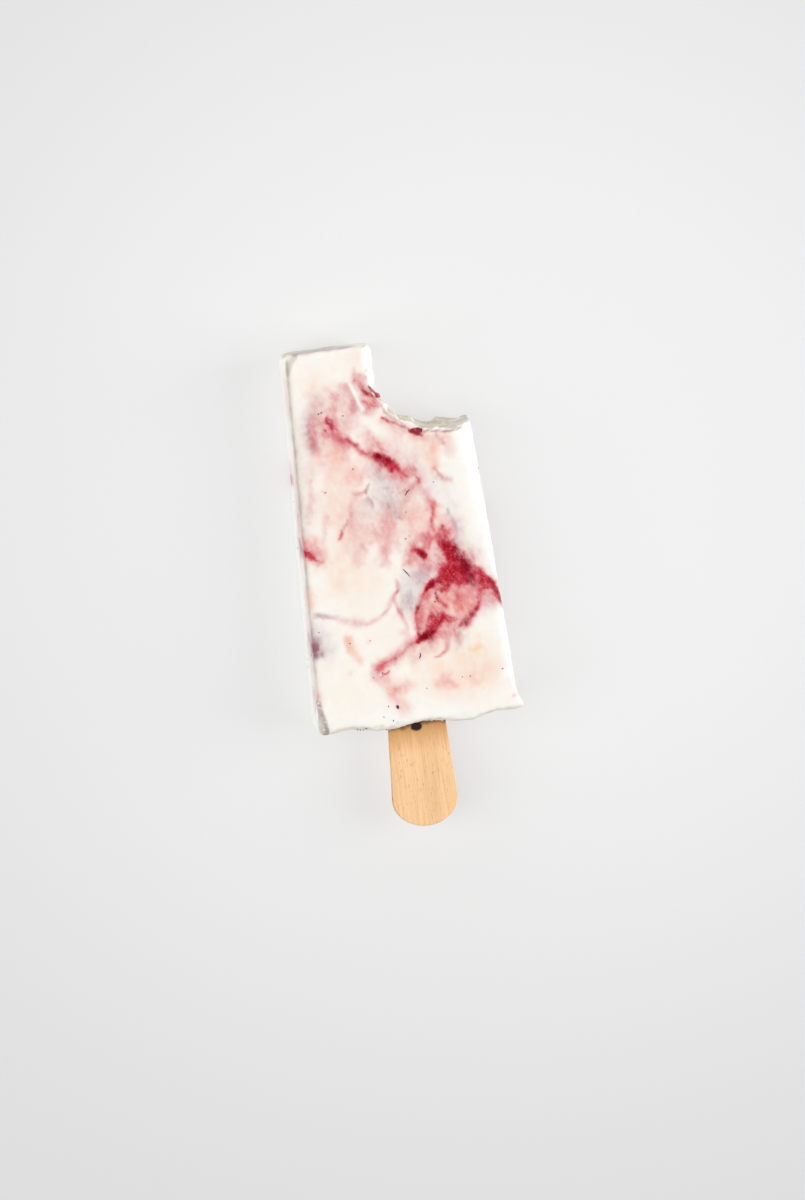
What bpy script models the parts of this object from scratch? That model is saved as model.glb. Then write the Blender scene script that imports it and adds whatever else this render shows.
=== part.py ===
"""A fruit-ripple ice pop on a flat wooden stick, with a bite out of one corner of its tip.

It lies on its flat back. x runs across the bar, y from the stick towards the tip, and z up. The origin is the
centre of the flat back. Two pieces are modelled: the frozen bar, with the slot that the stick froze into, and
the stick. Sizes are in metres.
"""

import math

import bmesh
import bpy
from mathutils import Matrix, Vector

MM = 0.001

# The bar, frozen in a mould that narrows and thins towards the tip.
BAR_LENGTH = 101 * MM
BASE_WIDTH = 53.9 * MM
TIP_WIDTH = 46 * MM
BASE_THICKNESS = 22 * MM
TIP_THICKNESS = 20 * MM
TIP_CORNER = 2.6 * MM
BASE_CORNER = 2.0 * MM
BACK_ROUND = 1.2 * MM
FRONT_ROUND = 1.4 * MM
SUCKED_ROUND = 4.6 * MM  # the edge beside the bite, worn rounder by the eater
SUCKED_FROM = -12 * MM
SUCKED_TO = 30 * MM
ROUND_STEPS = 4
EDGE_STEP = 2 * MM
CORNER_STEPS = 5

# The open end, where the mix froze unevenly across the mould's mouth and spilt over one corner.
POUR_WAVE = 0.7 * MM
POUR_WAVELENGTH = 21.5 * MM
POUR_CREST = 12.5 * MM
POUR_REACH = 7 * MM
POUR_SLUMP = 0.5 * MM  # how much further it ran beyond the stick's near edge
SLUMP_FROM = -8 * MM
SPILL = 1.7 * MM
SPILL_REACH = 5 * MM

# The bite: down from the tip, round a quarter of a superellipse, then out through the side.
BITE_CENTRE = Vector((16 * MM, 45 * MM))
BITE_REACH = 18.3 * MM
BITE_POWER = 1.85
BITE_RUN_OUT = 24 * MM
BITE_ARC_STEPS = 32
BITE_STRAIGHT_STEPS = 13
TOOTH_WIDTH = 8 * MM
TOOTH_DEPTH = 0.8 * MM
RIDGE_MIDDLE = 0.9 * MM  # how far the wall stands proud between the two jaws' cuts
RIDGE_AT_TIP = 3.6 * MM
RIDGE_AT_SIDE = 2.2 * MM
RIDGE_FADE = 0.35  # how much of it is lost where the bite runs straight out
RIDGE_FADE_RUN = 6 * MM
BITE_LEVELS = 13
CUT_MARGIN = 3 * MM

# The stick: a paddle, widest near its free end, held at the bar's mid thickness and a little askew.
STICK_LENGTH = 95 * MM
STICK_SHOWING = 29.1 * MM
STICK_WIDTH = 17.7 * MM
STICK_INNER_WIDTH = 9 * MM
STICK_THICKNESS = 2 * MM
STICK_END_DEPTH = 7.5 * MM
STICK_END_STEPS = 20
STICK_BEVEL = 0.3 * MM
STICK_OFFSET = 0.15 * MM
STICK_SKEW = math.radians(-1.15)
SLOT_GAP = 0.3 * MM

YOGHURT = ((0.905, 0.866, 0.775), 0.38)
WOOD = ((0.79, 0.50, 0.26), 0.62)


def clear_scene():
    for obj in list(bpy.data.objects):
        bpy.data.objects.remove(obj)


def matte(name, colour, roughness):
    material = bpy.data.materials.new(name)
    material.use_nodes = True
    shader = material.node_tree.nodes["Principled BSDF"]
    shader.inputs["Base Color"].default_value = (*colour, 1)
    shader.inputs["Roughness"].default_value = roughness
    shader.inputs["Metallic"].default_value = 0
    return material


def ease(low, high, value):
    """0 below low, 1 above high, and smooth between them."""
    share = min(1, max(0, (value - low) / (high - low)))
    return share * share * (3 - 2 * share)


def mix(a, b, share):
    return a + (b - a) * share


def along_bar(y):
    """0 at the open end and 1 at the tip."""
    return (y + BAR_LENGTH / 2) / BAR_LENGTH


def thickness(y):
    return mix(BASE_THICKNESS, TIP_THICKNESS, along_bar(y))


def rounded_corner(before, corner, after, radius, steps):
    """The arc that rounds off a corner, from the side towards before to the side towards after."""
    to_before = (before - corner).normalized()
    to_after = (after - corner).normalized()
    half_angle = to_before.angle(to_after) / 2
    centre = corner + (to_before + to_after).normalized() * (radius / math.sin(half_angle))
    start = corner + to_before * (radius / math.tan(half_angle)) - centre
    sweep = math.pi - 2 * half_angle
    return [centre + Matrix.Rotation(sweep * step / steps, 2) @ start for step in range(steps + 1)]


def straight_run(start, end, step):
    """Points between two others, neither of them included."""
    count = max(1, round((end - start).length / step))
    return [start.lerp(end, place / count) for place in range(1, count)]


def frozen_mouth(point):
    """Moves an outline point near the open end to the wavy level that the mix froze at, with its spill."""
    near_mouth = 1 - ease(0, POUR_REACH, point.y + BAR_LENGTH / 2)
    wave = POUR_WAVE * math.cos(math.tau * (point.x - POUR_CREST) / POUR_WAVELENGTH)
    beside_corner = ease(BASE_WIDTH / 2 - SPILL_REACH, BASE_WIDTH / 2, point.x)
    low_down = 1 - ease(0, SPILL_REACH, point.y + BAR_LENGTH / 2)
    slump = POUR_SLUMP * ease(SLUMP_FROM, 0, point.x)
    return point + Vector((SPILL * beside_corner * low_down, -(wave + slump) * near_mouth))


def bar_outline():
    """The bar seen from the front, anticlockwise: a tapered block with round corners and an uneven open end."""
    half_length = BAR_LENGTH / 2
    corners = [
        (Vector((-BASE_WIDTH / 2, -half_length)), BASE_CORNER),
        (Vector((BASE_WIDTH / 2, -half_length)), BASE_CORNER),
        (Vector((TIP_WIDTH / 2, half_length)), TIP_CORNER),
        (Vector((-TIP_WIDTH / 2, half_length)), TIP_CORNER),
    ]
    arcs = []
    for index, (corner, radius) in enumerate(corners):
        before = corners[index - 1][0]
        after = corners[(index + 1) % len(corners)][0]
        arcs.append(rounded_corner(before, corner, after, radius, CORNER_STEPS))
    points = []
    for index, arc in enumerate(arcs):
        points += arc
        points += straight_run(arc[-1], arcs[(index + 1) % len(arcs)][0], EDGE_STEP)
    return [frozen_mouth(point) for point in points]


def outward_normals(points):
    normals = []
    for index in range(len(points)):
        along = points[(index + 1) % len(points)] - points[index - 1]
        normals.append(Vector((along.y, -along.x)).normalized())
    return normals


def front_round(point):
    """The radius of the front face's edge at an outline point, large beside the bite."""
    beside_bite = ease(SUCKED_FROM, SUCKED_TO, point.y) * ease(0, TIP_WIDTH / 3, point.x)
    bitten_away = ease(SUCKED_TO, BAR_LENGTH / 2 - SUCKED_ROUND, point.y)
    return mix(FRONT_ROUND, SUCKED_ROUND, beside_bite * (1 - bitten_away))


def bar_loops():
    """The bar's outline at each level from the back to the front, drawn in where its edges are round."""
    outline = bar_outline()
    normals = outward_normals(outline)
    loops = []
    for step in range(ROUND_STEPS + 1):
        turn = math.pi / 2 * step / ROUND_STEPS
        inset = BACK_ROUND * (1 - math.sin(turn))
        height = BACK_ROUND * (1 - math.cos(turn))
        loops.append([(*(p - n * inset), height) for p, n in zip(outline, normals)])
    for step in range(ROUND_STEPS + 1):
        turn = math.pi / 2 * step / ROUND_STEPS
        loop = []
        for p, n in zip(outline, normals):
            radius = front_round(p)
            place = p - n * radius * (1 - math.cos(turn))
            loop.append((*place, thickness(place.y) - radius * (1 - math.sin(turn))))
        loops.append(loop)
    return loops


def lofted(name, loops, material):
    """A closed solid through loops that all have the same number of points, anticlockwise from above, bottom first."""
    mesh = bpy.data.meshes.new(name)
    solid = bmesh.new()
    rings = [[solid.verts.new(point) for point in loop] for loop in loops]
    for low, high in zip(rings, rings[1:]):
        for index in range(len(low)):
            following = (index + 1) % len(low)
            solid.faces.new((low[index], low[following], high[following], high[index]))
    solid.faces.new(reversed(rings[0]))
    solid.faces.new(rings[-1])
    bmesh.ops.recalc_face_normals(solid, faces=solid.faces)
    solid.to_mesh(mesh)
    solid.free()
    mesh.shade_smooth()
    mesh.set_sharp_from_angle(angle=math.radians(35))
    obj = bpy.data.objects.new(name, mesh)
    obj.data.materials.append(material)
    bpy.context.scene.collection.objects.link(obj)
    return obj


def make_cutter(obj, target):
    """Cuts obj's shape out of target, and keeps obj only as a guide."""
    obj.hide_render = True
    obj.display_type = "WIRE"
    cut = target.modifiers.new(obj.name, "BOOLEAN")
    cut.operation = "DIFFERENCE"
    cut.solver = "EXACT"
    cut.object = obj


def bite_path():
    """The bite's line through the bar seen from the front, as points with their normals into the ice."""
    left = BITE_CENTRE.x - BITE_REACH
    low = BITE_CENTRE.y - BITE_REACH
    path = []
    for step in range(BITE_STRAIGHT_STEPS):
        drop = BITE_RUN_OUT * (1 - step / BITE_STRAIGHT_STEPS)
        path.append((Vector((left, BITE_CENTRE.y + drop)), Vector((-1, 0))))
    for step in range(BITE_ARC_STEPS + 1):
        turn = math.pi / 2 * step / BITE_ARC_STEPS
        cosine = math.cos(turn) ** (2 / BITE_POWER) if step < BITE_ARC_STEPS else 0
        sine = math.sin(turn) ** (2 / BITE_POWER)
        point = BITE_CENTRE - BITE_REACH * Vector((cosine, sine))
        path.append((point, -Vector((math.cos(turn), math.sin(turn)))))
    for step in range(1, BITE_STRAIGHT_STEPS + 1):
        run = BITE_RUN_OUT * step / BITE_STRAIGHT_STEPS
        path.append((Vector((BITE_CENTRE.x + run, low)), Vector((0, -1))))
    return path


def bite_loops():
    """The bite at each level from below the back to above the front: tooth marks, and a ridge between the jaws."""
    path = bite_path()
    runs = [0]
    for (here, _), (there, _) in zip(path, path[1:]):
        runs.append(runs[-1] + (there - here).length)
    middle = runs[-1] / 2
    half_arc = middle - BITE_RUN_OUT
    loops = []
    for level in range(BITE_LEVELS):
        depth = level / (BITE_LEVELS - 1)
        height = mix(-CUT_MARGIN, BASE_THICKNESS + CUT_MARGIN, depth)
        from_middle = abs(2 * height / thickness(BITE_CENTRE.y) - 1)
        between_jaws = 1 - min(1, from_middle) ** 1.7
        loop = []
        for (point, into_ice), run in zip(path, runs):
            ends = min(1, abs(run - middle) / half_arc)
            beyond = min(1, max(0, abs(run - middle) - half_arc) / RIDGE_FADE_RUN)
            ridge_end = (RIDGE_AT_TIP if run < middle else RIDGE_AT_SIDE) * (1 - RIDGE_FADE * beyond)
            ridge = mix(RIDGE_MIDDLE, ridge_end, ends * ends) * between_jaws
            tooth = abs(math.sin(math.pi * (run - middle) / TOOTH_WIDTH + depth * math.pi / 2))
            loop.append((*(point + into_ice * (TOOTH_DEPTH * tooth - ridge)), height))
        far = BITE_CENTRE + Vector((BITE_RUN_OUT, BITE_RUN_OUT))
        loop.append((*far, height))
        loops.append(loop)
    return loops


def stick_outline(gap):
    """The stick from the front, anticlockwise, grown by gap. Its own y runs into the bar from the bar's open end."""
    half_wide = STICK_WIDTH / 2 + gap
    half_narrow = STICK_INNER_WIDTH / 2 + gap
    outer = STICK_END_DEPTH - STICK_SHOWING
    inner = STICK_LENGTH - STICK_SHOWING - STICK_INNER_WIDTH / 2
    points = []
    for step in range(STICK_END_STEPS + 1):
        turn = math.pi + math.pi * step / STICK_END_STEPS
        points.append(Vector((half_wide * math.cos(turn), outer + (STICK_END_DEPTH + gap) * math.sin(turn))))
    for step in range(STICK_END_STEPS + 1):
        turn = math.pi * step / STICK_END_STEPS
        points.append(Vector((half_narrow * math.cos(turn), inner + half_narrow * math.sin(turn))))
    return points


def stick_solid(name, gap, material):
    """The stick, or with a gap the slot that it froze into."""
    half_height = STICK_THICKNESS / 2 + gap
    outline = stick_outline(gap)
    loops = [[(*point, height) for point in outline] for height in (-half_height, half_height)]
    solid = lofted(name, loops, material)
    lean = math.atan((TIP_THICKNESS - BASE_THICKNESS) / 2 / BAR_LENGTH)
    solid.location = (STICK_OFFSET, -BAR_LENGTH / 2, BASE_THICKNESS / 2)
    solid.rotation_euler = (lean, 0, STICK_SKEW)
    return solid


def make_bar():
    ice = matte("frozen_yoghurt", *YOGHURT)
    bar = lofted("ice_bar", bar_loops(), ice)
    make_cutter(lofted("bite_cutter", bite_loops(), ice), bar)
    make_cutter(stick_solid("slot_cutter", SLOT_GAP, ice), bar)


def make_stick():
    stick = stick_solid("stick", 0, matte("birch", *WOOD))
    soften = stick.modifiers.new("sanded_edges", "BEVEL")
    soften.width = STICK_BEVEL
    soften.segments = 2
    soften.limit_method = "ANGLE"
    soften.angle_limit = math.radians(50)


clear_scene()
make_bar()
make_stick()
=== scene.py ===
"""The looks of a fruit-ripple ice pop with a bite out of it, made round its CAD frame.

The bar is a fine mesh of the CAD bar, roughened, bitten and frosted, with the fruit ripple held in it as the
strength of each colour at each point, and with shade and highlights painted into its colour along its edges,
folds and sides and low in the bite. The stick is a fine mesh of the CAD stick, with shade painted in under
the ice and down its left edge. Bits of berry, seeds, fibres and frost crumbs are pieces of their own. Sizes
written here are in millimetres, and the stage's in metres.
"""

import math
import random
from collections import namedtuple

import bmesh
import bpy
import numpy as np
from bpy.props import FloatProperty, FloatVectorProperty, IntProperty, PointerProperty
from mathutils import Matrix, Vector
from mathutils.bvhtree import BVHTree


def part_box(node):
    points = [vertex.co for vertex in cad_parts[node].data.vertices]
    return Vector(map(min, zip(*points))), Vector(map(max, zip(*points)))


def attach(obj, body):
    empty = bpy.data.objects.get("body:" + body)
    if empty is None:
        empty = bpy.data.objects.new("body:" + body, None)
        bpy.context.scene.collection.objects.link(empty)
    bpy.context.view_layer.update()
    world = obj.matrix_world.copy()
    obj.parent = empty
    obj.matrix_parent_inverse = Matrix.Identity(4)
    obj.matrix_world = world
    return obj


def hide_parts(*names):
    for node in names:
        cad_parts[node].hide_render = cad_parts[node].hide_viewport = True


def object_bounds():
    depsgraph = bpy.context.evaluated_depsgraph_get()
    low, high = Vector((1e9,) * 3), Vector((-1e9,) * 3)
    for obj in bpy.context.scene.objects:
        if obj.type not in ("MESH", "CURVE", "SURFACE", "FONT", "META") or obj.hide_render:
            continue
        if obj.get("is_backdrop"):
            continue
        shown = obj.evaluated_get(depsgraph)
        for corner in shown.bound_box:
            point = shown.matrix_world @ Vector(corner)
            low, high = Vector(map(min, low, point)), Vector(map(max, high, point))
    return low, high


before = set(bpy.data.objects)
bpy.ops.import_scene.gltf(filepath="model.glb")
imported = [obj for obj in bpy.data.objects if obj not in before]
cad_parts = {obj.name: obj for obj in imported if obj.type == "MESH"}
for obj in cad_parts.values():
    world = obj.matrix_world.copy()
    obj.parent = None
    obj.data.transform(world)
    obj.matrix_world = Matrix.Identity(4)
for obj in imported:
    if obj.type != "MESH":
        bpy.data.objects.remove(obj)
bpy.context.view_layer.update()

bl_info = {
    "name": "Ripple Ice Pop",
    "version": (1, 0, 0),
    "blender": (4, 5, 0),
    "location": "3D View > Sidebar > Ice Pop",
    "description": "Makes a bitten fruit-ripple frozen yoghurt bar on a birch stick, and its stage",
    "category": "Add Mesh",
}

MM = 0.001
BODY = "root"

# Where the CAD bar is, and the few sizes of it that its box doesn't give.
BAR_LOW, BAR_HIGH = (np.array(corner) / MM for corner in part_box("ice_bar"))
STICK_LOW, STICK_HIGH = (np.array(corner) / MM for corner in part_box("stick"))
MOUTH = -50.5
TIP = BAR_HIGH[1]
MOUTH_THICKNESS = BAR_HIGH[2]
TIP_THICKNESS = 20.0
MOUTH_HALF_WIDTH = 26.95
TIP_HALF_WIDTH = 23.0
BITE_CENTRE = np.array((16.0, 45.0))
BITE_REACH = 18.3
BITE_POWER = 1.85
SPREAD = 0.4  # how far the looks may go past the CAD bar
COLLAR = 1.2  # and at the mouth

# The ripple: lines of fruit in the mix, seen from the front. A width is half the breadth of a line, from its
# start to its end, and a hard line has a crisp edge where a soft one fades away.
Streak = namedtuple("Streak", "flavour strength widths line hard", defaults=(False,))
RIPPLE = {
    "great swirl": (
        Streak("crimson", 0.6, (0.7, 1.9, 2.2), [(13.2, 0.6), (13.0, -2.0), (13.6, -5.2)]),
        Streak("crimson", 1.0, (2.0, 3.1, 3.6, 3.0),
               [(14.0, -6.2), (14.5, -8.6), (15.1, -11.4), (15.2, -13.4)]),
        Streak("crimson", 0.9, (0.9, 1.3, 1.5, 1.6),
               [(6.9, -15.2), (8.6, -14.2), (10.6, -13.8), (12.4, -12.8)]),
        Streak("crimson", 0.67, (1.2, 1.4, 1.4, 1.2, 0.9, 0.7),
               [(18.8, -12.0), (20.8, -14.0), (22.6, -15.4), (24.0, -17.2), (25.0, -19.8), (25.8, -22.2)]),
        Streak("wine", 0.88, (0.5, 0.9, 1.4, 0.9, 0.4),
               [(15.3, -3.6), (16.0, -7.4), (17.2, -10.8), (17.9, -13.2), (18.6, -15.6)]),
        Streak("wine", 0.3, (0.8, 1.0), [(13.0, -3.0), (13.6, -6.4)]),
        Streak("crimson", 0.55, (1.2, 1.7, 1.8), [(12.4, -7.4), (11.4, -10.2), (11.0, -12.8)]),
        Streak("crimson", 0.5, (0.6, 0.8), [(21.6, -14.6), (23.0, -16.0)]),
        Streak("wine", 0.5, (0.4, 0.6, 0.5), [(22.8, -14.6), (24.2, -16.8), (25.8, -20.8)]),
        Streak("lavender", 0.3, (0.7, 0.9, 0.7), [(17.8, -13.4), (18.9, -15.2), (20.2, -16.0)]),
        Streak("rose", 0.7, (2.8, 4.0, 4.4), [(13.2, -1.0), (14.0, -7.0), (15.0, -13.0)]),
        Streak("rose", 0.6, (2.0, 2.4, 1.6), [(19.6, -14.6), (22.4, -17.2), (24.8, -21.0)]),
        Streak("crimson", 0.6, (0.7, 0.9), [(12.0, -15.6), (10.6, -16.8)]),
    ),
    "ring below it": (
        Streak("crimson", 0.55, (0.9, 0.6, 0.45, 0.5, 0.5, 0.5, 0.8),
               [(7.4, -15.0), (5.8, -16.6), (4.6, -18.8), (3.5, -20.4), (2.8, -22.6), (2.9, -25.0),
                (2.4, -27.6)]),
        Streak("wine", 0.8, (0.5,), [(3.4, -20.4)]),
        Streak("rose", 0.7, (1.0, 0.8, 0.8), [(6.2, -16.4), (3.8, -20.2), (2.8, -25.0)]),
        Streak("wine", 0.6, (0.5, 0.7, 0.4), [(9.2, -14.0), (8.0, -14.9), (6.8, -15.8)]),
        Streak("rose", 0.75, (1.8, 1.6, 1.4), [(6.8, -17.0), (4.4, -20.8), (3.6, -25.6)]),
        Streak("crimson", 0.6, (0.4, 0.6, 0.6), [(8.8, -16.8), (9.0, -19.4), (10.6, -20.8)]),
        Streak("salmon", 0.85, (2.8, 2.6), [(12.8, -17.6), (15.6, -19.4)]),
        Streak("salmon", 0.8, (2.6, 2.4), [(14.2, -22.0), (17.4, -20.6)]),
        Streak("salmon", 0.9, (2.0, 2.0), [(6.8, -21.4), (11.4, -21.4)]),
        Streak("crimson", 0.2, (1.0, 1.2), [(12.6, -19.0), (15.8, -18.2)]),
        Streak("lavender", 0.3, (1.0,), [(17.0, -17.2)]),
        Streak("crimson", 0.85, (0.6, 1.0, 1.5, 1.9, 1.7, 1.0),
               [(1.9, -29.2), (3.4, -28.0), (5.8, -26.6), (8.0, -24.8), (9.6, -24.2), (11.6, -24.2)]),
        Streak("crimson", 0.7, (0.9, 1.1), [(6.4, -23.0), (8.6, -23.2)]),
        Streak("wine", 1.0, (0.6, 0.9, 0.6), [(2.6, -28.4), (4.2, -27.8), (5.8, -27.0)]),
        Streak("rose", 0.8, (1.2, 1.8, 1.4), [(4.6, -28.6), (8.4, -26.8), (12.2, -25.6)]),
        Streak("crimson", 0.74, (0.7, 1.2, 1.2, 1.1, 0.7),
               [(13.2, -26.6), (14.6, -25.6), (16.6, -24.2), (18.2, -23.2), (19.3, -22.0)]),
        Streak("wine", 0.5, (0.4, 0.8, 0.7, 0.4),
               [(13.6, -26.2), (15.4, -25.2), (17.4, -23.8), (19.2, -22.2)]),
        Streak("rose", 0.6, (1.2, 1.8, 1.8, 1.2),
               [(13.2, -26.8), (15.4, -25.2), (18.0, -23.2), (19.4, -21.4)]),
        Streak("rose", 0.9, (0.8, 1.0, 0.9), [(19.4, -21.4), (20.4, -18.8), (20.6, -16.6)]),
        Streak("crimson", 0.6, (0.5, 0.6, 0.6), [(19.3, -22.0), (20.2, -19.4), (20.8, -17.0)]),
        Streak("lavender", 0.35, (1.6, 1.6), [(12.8, -27.4), (13.0, -29.8)]),
        Streak("rose", 0.55, (1.2, 1.4), [(11.6, -27.0), (12.8, -29.6)]),
        Streak("crimson", 0.4, (0.3, 0.3), [(12.0, -26.6), (11.4, -28.6)]),
    ),
    "tail of the swirl": (
        Streak("rose", 0.9, (1.1, 1.2, 1.4, 1.1),
               [(1.6, -28.6), (-1.8, -30.6), (-5.2, -32.8), (-8.6, -34.2)]),
        Streak("crimson", 0.5, (0.5, 0.45, 0.4, 0.4, 0.4, 0.3),
               [(2.2, -28.6), (0.0, -29.4), (-1.8, -30.8), (-4.4, -32.4), (-6.8, -33.3), (-8.4, -34.2)]),
        Streak("crimson", 0.5, (0.3, 0.5, 0.3), [(-6.6, -35.4), (-7.8, -36.0), (-8.9, -36.8)]),
        Streak("rose", 0.5, (0.8, 0.9), [(-10.4, -34.0), (-10.8, -37.0)]),
        Streak("salmon", 0.45, (2.0, 2.2, 1.8), [(-8.6, -35.6), (-8.0, -38.0), (-6.0, -40.6)]),
        Streak("rose", 0.65, (0.9, 0.6, 0.5, 0.4, 0.3),
               [(9.4, -27.4), (9.7, -30.0), (9.4, -31.8), (8.2, -33.0), (6.2, -34.0)]),
        Streak("crimson", 0.3, (0.3, 0.25, 0.2), [(9.6, -30.4), (9.2, -32.0), (7.8, -33.2)]),
        Streak("rose", 0.3, (1.6, 1.6), [(0.0, -32.8), (4.6, -30.8)]),
    ),
    "fine veins": (
        Streak("rose", 0.6, (0.22, 0.32, 0.5), [(-1.4, -12.2), (-1.5, -14.6), (-2.8, -16.8)]),
        Streak("crimson", 0.35, (0.15, 0.3, 0.25), [(-1.5, -13.4), (-2.0, -15.6), (-2.8, -16.8)]),
        Streak("rose", 0.42, (0.6, 0.5, 0.5, 0.7, 1.2, 0.9),
               [(-3.2, -17.4), (-5.0, -19.4), (-7.4, -21.2), (-10.0, -22.4), (-14.4, -21.7), (-17.2, -20.8)]),
        Streak("lavender", 0.5, (0.7, 0.6, 0.6), [(-18.4, -20.0), (-20.4, -19.2), (-23.8, -18.6)]),
        Streak("rose", 0.35, (0.4, 0.35), [(-18.6, -20.2), (-21.6, -19.0)]),
        Streak("rose", 0.5, (0.4, 0.5, 0.5, 0.5),
               [(-2.4, -17.2), (-1.2, -19.6), (-0.4, -22.0), (0.0, -24.6)]),
        Streak("rose", 0.45, (0.9, 0.9), [(-0.4, -25.6), (-0.8, -29.0)]),
        Streak("rose", 0.8, (0.28, 0.3, 0.32, 0.42),
               [(-12.6, 5.4), (-13.2, 3.8), (-14.0, 2.0), (-14.8, 0.6)]),
        Streak("crimson", 0.35, (0.2, 0.35), [(-13.8, 2.2), (-14.8, 0.5)]),
        Streak("crimson", 0.5, (0.16, 0.2, 0.14),
               [(-17.7, 14.3), (-17.0, 13.6), (-16.5, 13.8), (-15.9, 13.8)], True),
        Streak("rose", 0.6, (0.5, 0.4, 0.6, 0.4), [(13.4, 15.8), (14.2, 14.2), (14.8, 12.8), (16.6, 12.4)]),
        Streak("lavender", 0.3, (0.4, 0.5), [(14.2, 14.0), (15.2, 12.6)]),
        Streak("lavender", 0.45, (0.6, 0.45, 0.4, 0.3, 0.2),
               [(-6.0, 13.8), (-7.0, 12.4), (-6.6, 11.0), (-5.6, 9.6), (-5.0, 8.0)]),
        Streak("rose", 0.45, (0.9, 0.6), [(-9.8, 12.2), (-6.8, 12.6)]),
        Streak("rose", 0.3, (0.5, 0.7, 0.6), [(-20.2, 17.0), (-21.6, 11.0), (-22.8, 6.0)]),
        Streak("rose", 0.3, (0.8, 0.9), [(-17.8, 7.0), (-19.2, 0.0)]),
        Streak("rose", 0.3, (0.5, 0.6), [(-10.4, 10.0), (-12.4, 3.0)]),
        Streak("lavender", 0.4, (0.3, 0.4), [(-0.6, 12.6), (-1.8, 13.0)]),
        Streak("lavender", 0.5, (0.3, 0.35), [(1.1, 4.0), (1.8, 3.3)]),
        Streak("lavender", 0.5, (0.3, 0.35), [(-1.2, 8.2), (-0.8, 7.4)]),
        Streak("lavender", 0.3, (0.25, 0.25), [(0.4, 11.2), (3.0, 10.6)]),
        Streak("lavender", 0.3, (0.25, 0.25), [(-4.4, 10.8), (-3.4, 9.8)]),
        Streak("rose", 0.3, (0.9, 0.7), [(-10.8, -4.0), (-11.4, -6.4)]),
    ),
    "dark blob": (
        Streak("crimson", 1.0, (0.9, 1.5, 1.7, 1.0), [(-2.6, 21.1), (-0.8, 20.0), (1.2, 18.6), (0.8, 16.9)]),
        Streak("crimson", 0.8, (0.9, 0.7), [(1.8, 18.0), (2.5, 17.4)]),
        Streak("wine", 0.85, (0.7, 1.0, 0.6), [(-2.2, 20.8), (-0.6, 20.0), (0.8, 19.4)]),
        Streak("rose", 0.8, (1.6, 2.4, 1.8), [(-3.2, 21.4), (0.4, 18.8), (1.2, 16.4)]),
        Streak("crimson", 0.55, (0.6, 0.5, 0.4), [(3.0, 16.4), (4.2, 15.6), (4.9, 15.0)]),
        Streak("rose", 0.6, (1.4, 1.4), [(3.2, 16.2), (5.0, 15.0)]),
        Streak("crimson", 0.75, (0.7, 0.9), [(7.2, 14.4), (7.7, 13.4)]),
        Streak("rose", 0.55, (1.2, 1.4, 1.2), [(6.8, 16.4), (7.8, 13.6), (6.2, 11.8)]),
        Streak("rose", 0.6, (1.0, 1.2, 1.1), [(8.2, 11.4), (9.4, 9.2), (10.6, 6.8)]),
        Streak("salmon", 0.75, (0.9, 1.0, 0.7), [(10.8, 6.6), (10.9, 4.2), (10.0, 1.6)]),
        Streak("crimson", 0.45, (0.6, 0.6, 0.5), [(10.6, 6.2), (10.8, 4.0), (9.8, 1.0)]),
        Streak("rose", 0.35, (0.4, 0.4), [(11.6, 6.2), (13.8, 5.4)]),
        Streak("rose", 0.5, (1.2, 1.4), [(9.6, 0.6), (8.0, -2.4)]),
        Streak("rose", 0.55, (1.3, 1.7, 1.6), [(-3.6, 27.2), (-2.6, 24.4), (0.4, 22.2)]),
        Streak("rose", 0.3, (1.6, 1.4), [(2.6, 14.0), (4.6, 10.0)]),
    ),
    "left band": (
        Streak("crimson", 0.85, (0.5, 0.9, 0.8), [(-13.9, 33.2), (-13.8, 31.6), (-13.2, 30.4)]),
        Streak("wine", 0.4, (0.6,), [(-13.8, 31.5)]),
        Streak("rose", 0.8, (1.3, 1.8, 1.4), [(-12.6, 34.2), (-13.9, 31.8), (-13.4, 29.4)]),
        Streak("rose", 0.6, (1.0, 1.2, 1.0), [(-17.9, 33.4), (-17.9, 29.8), (-18.1, 26.2)]),
        Streak("lavender", 0.65, (1.0, 1.3, 1.2), [(-18.0, 33.6), (-18.2, 29.8), (-18.2, 25.4)]),
        Streak("rose", 0.5, (2.0, 2.0), [(-16.0, 32.6), (-15.6, 29.8)]),
        Streak("lavender", 0.15, (2.6, 2.6), [(-17.0, 36.6), (-20.4, 30.0)]),
        Streak("rose", 1.0, (1.0, 1.5, 1.7, 1.5, 0.7),
               [(-13.2, 29.6), (-12.2, 27.6), (-10.8, 26.0), (-9.2, 25.2), (-7.2, 24.6)]),
        Streak("crimson", 0.5, (0.5, 0.8, 0.8, 0.4),
               [(-13.4, 29.6), (-12.0, 27.0), (-10.0, 25.8), (-7.4, 24.6)]),
        Streak("crimson", 0.45, (0.3, 0.35, 0.5), [(-9.2, 26.2), (-8.2, 25.2), (-7.1, 23.8)]),
        Streak("rose", 0.9, (0.6, 0.8, 0.8), [(-6.6, 22.9), (-5.2, 21.9), (-3.4, 21.6)]),
        Streak("crimson", 0.45, (0.3, 0.45, 0.5), [(-6.4, 22.8), (-5.2, 21.8), (-3.6, 21.5)]),
        Streak("salmon", 0.4, (2.2, 2.6, 2.0), [(-16.6, 23.6), (-13.0, 24.0), (-10.0, 22.6)]),
        Streak("salmon", 0.45, (1.7, 1.6), [(-9.2, 16.8), (-8.4, 16.4)]),
        Streak("peach", 0.7, (2.6, 2.6), [(-13.6, 20.4), (-10.6, 18.4)]),
        Streak("rose", 0.4, (0.8, 0.9), [(-11.8, 38.0), (-12.4, 35.0)]),
        Streak("rose", 0.35, (2.6, 2.8, 2.4), [(-16.0, 37.0), (-10.4, 36.0), (-9.4, 30.0)]),
    ),
    "stain by the bite": (
        Streak("rose", 0.45, (0.5, 0.9, 1.1), [(-5.4, 44.2), (-5.2, 42.2), (-4.4, 40.4)]),
        Streak("rose", 0.6, (0.9, 0.8), [(-4.4, 42.2), (-2.6, 42.0)]),
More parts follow.
